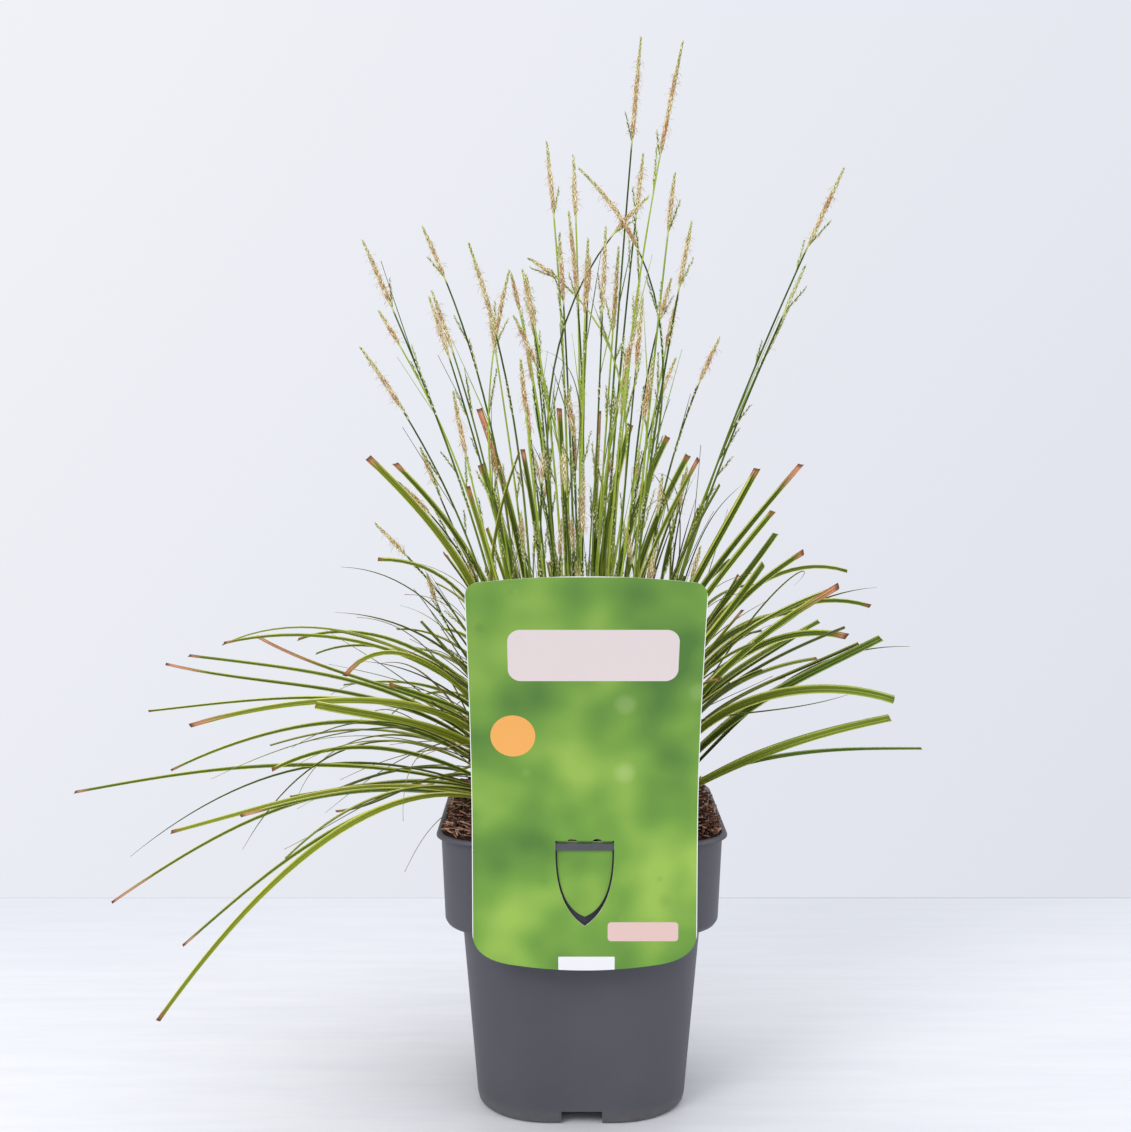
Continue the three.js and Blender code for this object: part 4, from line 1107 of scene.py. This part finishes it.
# These lean across the others, and only the scene has them.
LEANING_STEMS = [(10, 41, 546, 96, 42, 30), (180, 43, 502, 72, 105, 45), (185, 31, 508, 95, 30, 20)]
STEMS_PER_BUNCH = 2
BUNCH_SHEATH = 2.0
TALL_STEM = 500
STEM_RADII = [0.95, 0.8, 0.65, 0.5]
SPIKE_RADIUS = 1.15
SPIKE_SCALES = (0.42, 4.8, 0.6, 0.6)  # how far apart, and the length, half-width and flare of each
SIDE_SPIKE_RADIUS = 0.75
SIDE_SPIKE_SCALES = (1.05, 3.0, 0.55, 0.75)
SIDE_SPIKE_SHARES = (0.4, 0.52, 0.8, 0.9)  # how far up the bare stem the more slender ones may stand
SIDE_SPIKE_CHANCE = 0.75
BRACT_CHANCE = 0.8
SIDE_SPIKE_AWAY = 0.32  # how far the main ones lean away from their stem, as a share of their length
YOUNG_IN_MIDDLE = 10  # short young stems
YOUNG_PER_BUNCH = 2
SHEATH_HEIGHT = 26
SHEATH_DEPTH = 20
GOLDEN_ANGLE = 2.39996
SCALE_FACES = [(0, 2, 3), (0, 3, 1), (4, 3, 2), (4, 1, 3), (0, 1, 4), (0, 4, 2)]
ANTHER_FACES = [(0, 2, 1), (0, 3, 2), (0, 1, 3), (4, 1, 2), (4, 2, 3), (4, 3, 1)]


def add_tube(skin, path, start, end, steps, radii, look, sides=6):
    t = np.linspace(start, end, steps + 1)
    middle, _, side, up = path.frame(t)
    radius = np.interp(np.linspace(0, 1, steps + 1), np.linspace(0, 1, len(radii)), radii)[:, None]
    rings, places = [], []
    for i in range(sides):
        angle = 2 * math.pi * i / sides
        rings.append(middle + (side * math.cos(angle) + up * math.sin(angle)) * radius)
        places.append(np.stack([np.full_like(t, math.cos(angle)), t, np.ones_like(t)], 1))
    skin.loft(np.stack(rings, 1), np.stack(places, 1), look)


def spindle(radius, foot, span, power):
    """Gives a spike's radius at a share of its length, thickest near its middle."""
    return lambda share: radius * np.sin(math.pi * (foot + span * np.asarray(share))) ** power


def add_scales(skin, path, start, end, scales, fat, look, draw):
    """Overlapping pointed scales in a spiral round a spike, whose radius fat gives."""
    spacing, *sizes = scales
    count = max(6, int((end - start) * path.length / spacing))
    share = (np.arange(count) + 0.5) / count
    middle, along, side, up = path.frame(start + (end - start) * share * 0.97)
    angle = (np.arange(count) * GOLDEN_ANGLE)[:, None]
    outward = side * np.cos(angle) + up * np.sin(angle)
    sideways = np.cross(along, outward)
    radius = fat(share)[:, None]
    size = np.array([draw(0.8, 1.2) for _ in range(count)])[:, None]
    reach, half, flare = (value * size for value in sizes)
    reach = reach * np.minimum(1, 0.55 + 0.6 * (1 - share[:, None]))
    root = middle + outward * radius * 0.35
    waist = middle + along * reach * 0.45 + outward * radius
    ridge = waist + outward * 0.3 * half
    tip = middle + along * reach + outward * (radius * 0.9 + flare)
    points = np.stack([root, waist - sideways * half, waist + sideways * half, ridge, tip], 1)
    place = np.zeros((count, 5, 3))
    place[:, :, 1] = share[:, None]
    place[:, :, 2] = [0.1, 0.6, 0.6, 0.85, 1.0]
    kinds = np.zeros((count, 5, 3))
    kinds[:, :, 0] = np.array([draw(*look[0]) for _ in range(count)])[:, None]
    kinds[:, :, 1] = look[1]
    faces = [[k + 5 * i for k in face] for i in range(count) for face in SCALE_FACES]
    skin.add(points, faces, place, kinds.reshape(-1, 3))


def add_anthers(skin, path, start, end, count, fat, draw):
    """Fine threads that hang out of an open spike."""
    for _ in range(count):
        share = draw(0.08, 0.8)
        middle, along, side, up = path.frame(start + (end - start) * share)
        angle = draw(0, 2 * math.pi)
        outward = side * math.cos(angle) + up * math.sin(angle)
        root = middle + outward * float(fat(share)) * 0.8
        heading = outward * draw(0.5, 1) + along * draw(-0.6, 0.7) + np.array([0, 0, draw(-0.7, 0.1)])
        heading /= np.linalg.norm(heading)
        across = np.cross(heading, along)
        across /= max(1e-6, np.linalg.norm(across))
        over = np.cross(heading, across)
        length = draw(1.4, 5.0)
        waist = root + heading * length * 0.55
        thick = draw(0.11, 0.2)
        ring = [waist + (across * math.cos(a) + over * math.sin(a)) * thick for a in (0, 2.09, 4.19)]
        tip = root + heading * length + np.array([0, 0, -0.25 * length])
        place = np.tile([0, share, 0.9], (5, 1))
        skin.add([root, *ring, tip], ANTHER_FACES, place, (draw(0.1, 1.0), 0, 0))


def add_flower_spike(spikes, path, start, end, fresh, draw):
    """The spike at the end of a stem: gold below, paler towards its tip, with open anthers. A fresh one is
    slimmer, green and still shut."""
    fat = spindle(SPIKE_RADIUS - 0.4 * fresh, 0.22, 0.74, 0.8)
    add_tube(spikes, path, start - 0.01, end, 12, [0.5, 0.8, 0.8, 0.6, 0.15], (0.35, 0, 0), 5)
    tones = (draw(0.0, 0.3), draw(0.65, 1.0))
    add_scales(spikes, path, start, end, SPIKE_SCALES, fat, (tones, fresh), draw)
    length = (end - start) * path.length
    add_anthers(spikes, path, start, end, int(length * draw(1.0, 2.4) * (1 - fresh)), fat, draw)


def add_side_spike(stems, spikes, path, t, away, length, draw):
    """A slender spike of loose green seed cases that stands close to its stem."""
    place, along, _, up = path.frame(t)
    tip = place + along * length + up * away * length
    own = straight(place, tip, path.side)
    fat = spindle(SIDE_SPIKE_RADIUS, 0.2, 0.7, 0.6)
    add_tube(stems, own, 0, 0.96, 4, [0.4, 0.35, 0.15], (draw(0, 1), 0, 0), 4)
    add_scales(spikes, own, 0.12, 1, SIDE_SPIKE_SCALES, fat, ((0.1, 1.0), draw(0.55, 1.0)), draw)


def add_bract(skin, path, t, draw):
    """A fine leaf from a joint of a stem."""
    place, along, side, up = path.frame(t)
    length = draw(22, 70)
    heading = along + side * draw(-0.25, 0.25) + up * draw(-0.25, 0.25)
    tip = place + heading / np.linalg.norm(heading) * length
    own = straight(place, tip, side)
    leaf = dict(width=draw(0.6, 1.0), roll=draw(-1, 1), twist=0.5)
    add_blade(skin, own, leaf, (draw(0, 1), 0, 0), 6)


def add_stem(stems, spikes, foot, row, draw, tell):
    azimuth, reach, height, rise, lean, spike_length = row[:6]
    fresh = row[6] if len(row) > 6 else 0.0
    path = Path(foot, on_plan(azimuth, reach, height), rise, lean)
    start = 1 - spike_length / path.length
    add_tube(stems, path, 0, start, 22, STEM_RADII, (tell(0, 1), 0, 0))
    add_flower_spike(spikes, path, start, 1, fresh, tell)
    for t in ([start * 2 / 3, start] if height > TALL_STEM else [start * 2 / 3]):
        away = math.copysign(SIDE_SPIKE_AWAY, draw(0, 1) - 0.5)
        add_side_spike(stems, spikes, path, t, away, draw(13, 22), tell)
    for share in SIDE_SPIKE_SHARES:
        if tell(0, 1) < SIDE_SPIKE_CHANCE:
            t = start * (share + tell(-0.06, 0.06))
            add_side_spike(stems, spikes, path, t, tell(-0.2, 0.2), tell(14, 30), tell)
    if tell(0, 1) < BRACT_CHANCE:
        add_bract(stems, path, start * tell(0.6, 0.9), tell)


def side_stems(azimuth, draw):
    stems = [row for row in SIDE_STEMS if in_tuft(row[0], azimuth)]
    while len(stems) < STEMS_PER_BUNCH:
        reach = draw(52, 105)
        stems.append((azimuth + draw(-4, 4), reach, draw(385, 520), draw(82, 85), draw(62, 80), draw(22, 42)))
    return stems


def make_bunch(name, azimuth, rows, foot_of, sheath_radius, draw, tell, materials):
    """The stems of one bunch and, as a second piece, their spikes. Both stand for the bunch's node."""
    in_middle = rows is CENTRE_STEMS
    stems, spikes = Skin(), Skin()
    foot = on_plan(azimuth, 0 if in_middle else STEM_RING_RADIUS, CROWN_TOP - SHEATH_DEPTH)
    sheath = straight(foot, foot + [0, 0, SHEATH_HEIGHT], np.array([1.0, 0, 0]))
    add_tube(stems, sheath, 0, 1, 4, [sheath_radius, sheath_radius, sheath_radius * 0.6], (0.9, 0, 0), 12)
    for row in rows:
        add_stem(stems, spikes, foot_of(row), row, draw, tell)
    for row in LEANING_STEMS if in_middle else []:
        add_stem(stems, spikes, foot_of(row), row, tell, tell)
    for _ in range(YOUNG_IN_MIDDLE if in_middle else YOUNG_PER_BUNCH):  # short, low among the leaves
        reach, height = tell(20, 95), tell(300, 400)
        turn = azimuth + (tell(-180, 180) if in_middle else tell(-9, 9))
        row = (turn, reach * (0.4 if in_middle else 1), height, 85, tell(68, 82), tell(14, 24))
        add_stem(stems, spikes, foot_of(row), row, tell, tell)
    culm_look, spike_look = materials
    new_piece(f"{name}_culms", stems, [culm_look, culm_look], [name])
    new_piece(f"{name}_spikes", spikes, [spike_look], [name])


def make_stems(materials):
    centre_foot = lambda row: on_plan(row[0], 0.14 * row[1], CENTRE_TOP - 2 * ROOT_DEPTH)
    make_bunch("flower_stems_centre", 0, CENTRE_STEMS, centre_foot, CENTRE_RADIUS - 3,
               seeded(77), seeded(78), materials)
    for bunch in range(TUFTS):
        azimuth = (bunch + 0.5) * 360 / TUFTS
        foot = on_plan(azimuth, STEM_RING_RADIUS, BUNCH_TOP - 2 * ROOT_DEPTH)
        draw = seeded(500 + bunch)
        make_bunch(f"flower_stems_{bunch + 1:02d}", azimuth, side_stems(azimuth, draw), lambda row: foot,
                   BUNCH_SHEATH, draw, seeded(700 + bunch), materials)


# ---- studio ----
PHOTO_SIZE = (1131, 1132)
FOCAL_PIXELS = 1650
CAMERA_PLACE = (-9.5, -1000, 409)
CAMERA_TILT = 4.87
FLOOR_BACK = 405  # the floor ends here, behind the pot
FLOOR_HALF = 4000
WALL_COLOURS = ((0.05, "#f1f3f8"), (0.9, "#dfe2eb"))
WALL_ASIDE, WALL_UP = 0.8, -0.6  # how fast the wall darkens to the right and upwards
AIM = Vector((0, 0, 0.25))  # where the lamps point, in metres
SOFTBOXES = [  # name, place and diameter in metres, and power in watts
    ("key", (-1.3, -1.9, 1.9), 1.2, 28),
    ("fill", (1.9, -1.2, 1.2), 1.4, 9),
    ("top", (0.1, 0.3, 2.6), 1.4, 14),
]


def make_camera():
    data = bpy.data.cameras.new("camera")
    camera = bpy.data.objects.new("camera", data)
    bpy.context.scene.collection.objects.link(camera)
    data.sensor_width = 36
    data.lens = FOCAL_PIXELS * data.sensor_width / max(PHOTO_SIZE)
    data.clip_start = 0.01
    camera.location = Vector(CAMERA_PLACE) * MM
    camera.rotation_euler = (math.radians(90 - CAMERA_TILT), 0, 0)
    bpy.context.scene.camera = camera


def add_softbox(name, place, size, power):
    data = bpy.data.lights.new(name, "AREA")
    data.shape, data.size, data.energy = "DISK", size, power
    lamp = bpy.data.objects.new(name, data)
    bpy.context.scene.collection.objects.link(lamp)
    lamp.location = place
    lamp.rotation_euler = (AIM - Vector(place)).to_track_quat("-Z", "Y").to_euler()


def floor_paint():
    """White painted boards, with a fine shaded line at the far edge."""
    look = Material("floor_paint", 0.5, 0.3)
    at = look.object_place()
    x, y, _ = look.split(at)
    grain = look.noise(look.join(look.times(x, 0.12), y, 0.0), 55, 5, 0.65)
    base = look.ramp(grain, (0.3, "#dcdde1"), (0.65, "#e3e4e6"))
    shaded = look.plus(look.spread(y, 0.15, 0.42, 0, 0.5), look.spread(x, -0.45, 0.45, 0, 0.1))
    base = look.mix(shaded, base, "#cbced5")
    line = look.spread(y, (FLOOR_BACK - 4) * MM, FLOOR_BACK * MM)
    edge = look.times(line, look.spread(x, -0.3, 0.3, 0.4, 0.7))
    return look.done(look.mix(edge, base, "#9a9ca2"))


def paint_wall(world):
    """The wall's light, a little darker to the right and lower down."""
    look = Nodes(world)
    aside, _, up = look.split(look.node("ShaderNodeTexCoord").outputs["Generated"])
    shade = look.plus(look.times(aside, WALL_ASIDE), look.plus(look.times(up, WALL_UP), 0.5))
    look.give(look.tree.nodes["Background"].inputs[0], look.ramp(shade, *WALL_COLOURS))


def make_studio():
    scene = bpy.context.scene
    scene.view_settings.view_transform = "Standard"
    scene.world = bpy.data.worlds.new("studio")
    paint_wall(scene.world)
    skin = Skin()
    corners = ((-1, -FLOOR_HALF), (1, -FLOOR_HALF), (1, FLOOR_BACK), (-1, FLOOR_BACK))
    skin.add([(side * FLOOR_HALF, y, 0) for side, y in corners], [(0, 1, 2, 3)])
    mesh = bpy.data.meshes.new("floor")
    mesh.from_pydata((skin.points[0] * MM).tolist(), [], skin.faces)
    mesh.materials.append(floor_paint())
    floor = bpy.data.objects.new("floor", mesh)
    scene.collection.objects.link(floor)
    for softbox in SOFTBOXES:
        add_softbox(*softbox)


make_camera()
make_studio()
make_pot(pot_plastic())
make_soil(soil_earth())
make_litter(bark())
make_label(label_print(), card_white())
greens = [leaf_green("leaf_upper", False), leaf_green("leaf_under_shaded", True)]
for number in range(TUFTS):
    make_tuft(number, greens)
make_stems((stem_green(), spike_gold()))

triangles = sum(len(p.vertices) - 2 for o in bpy.data.objects if o.type == "MESH" for p in o.data.polygons)
print("triangles", triangles)
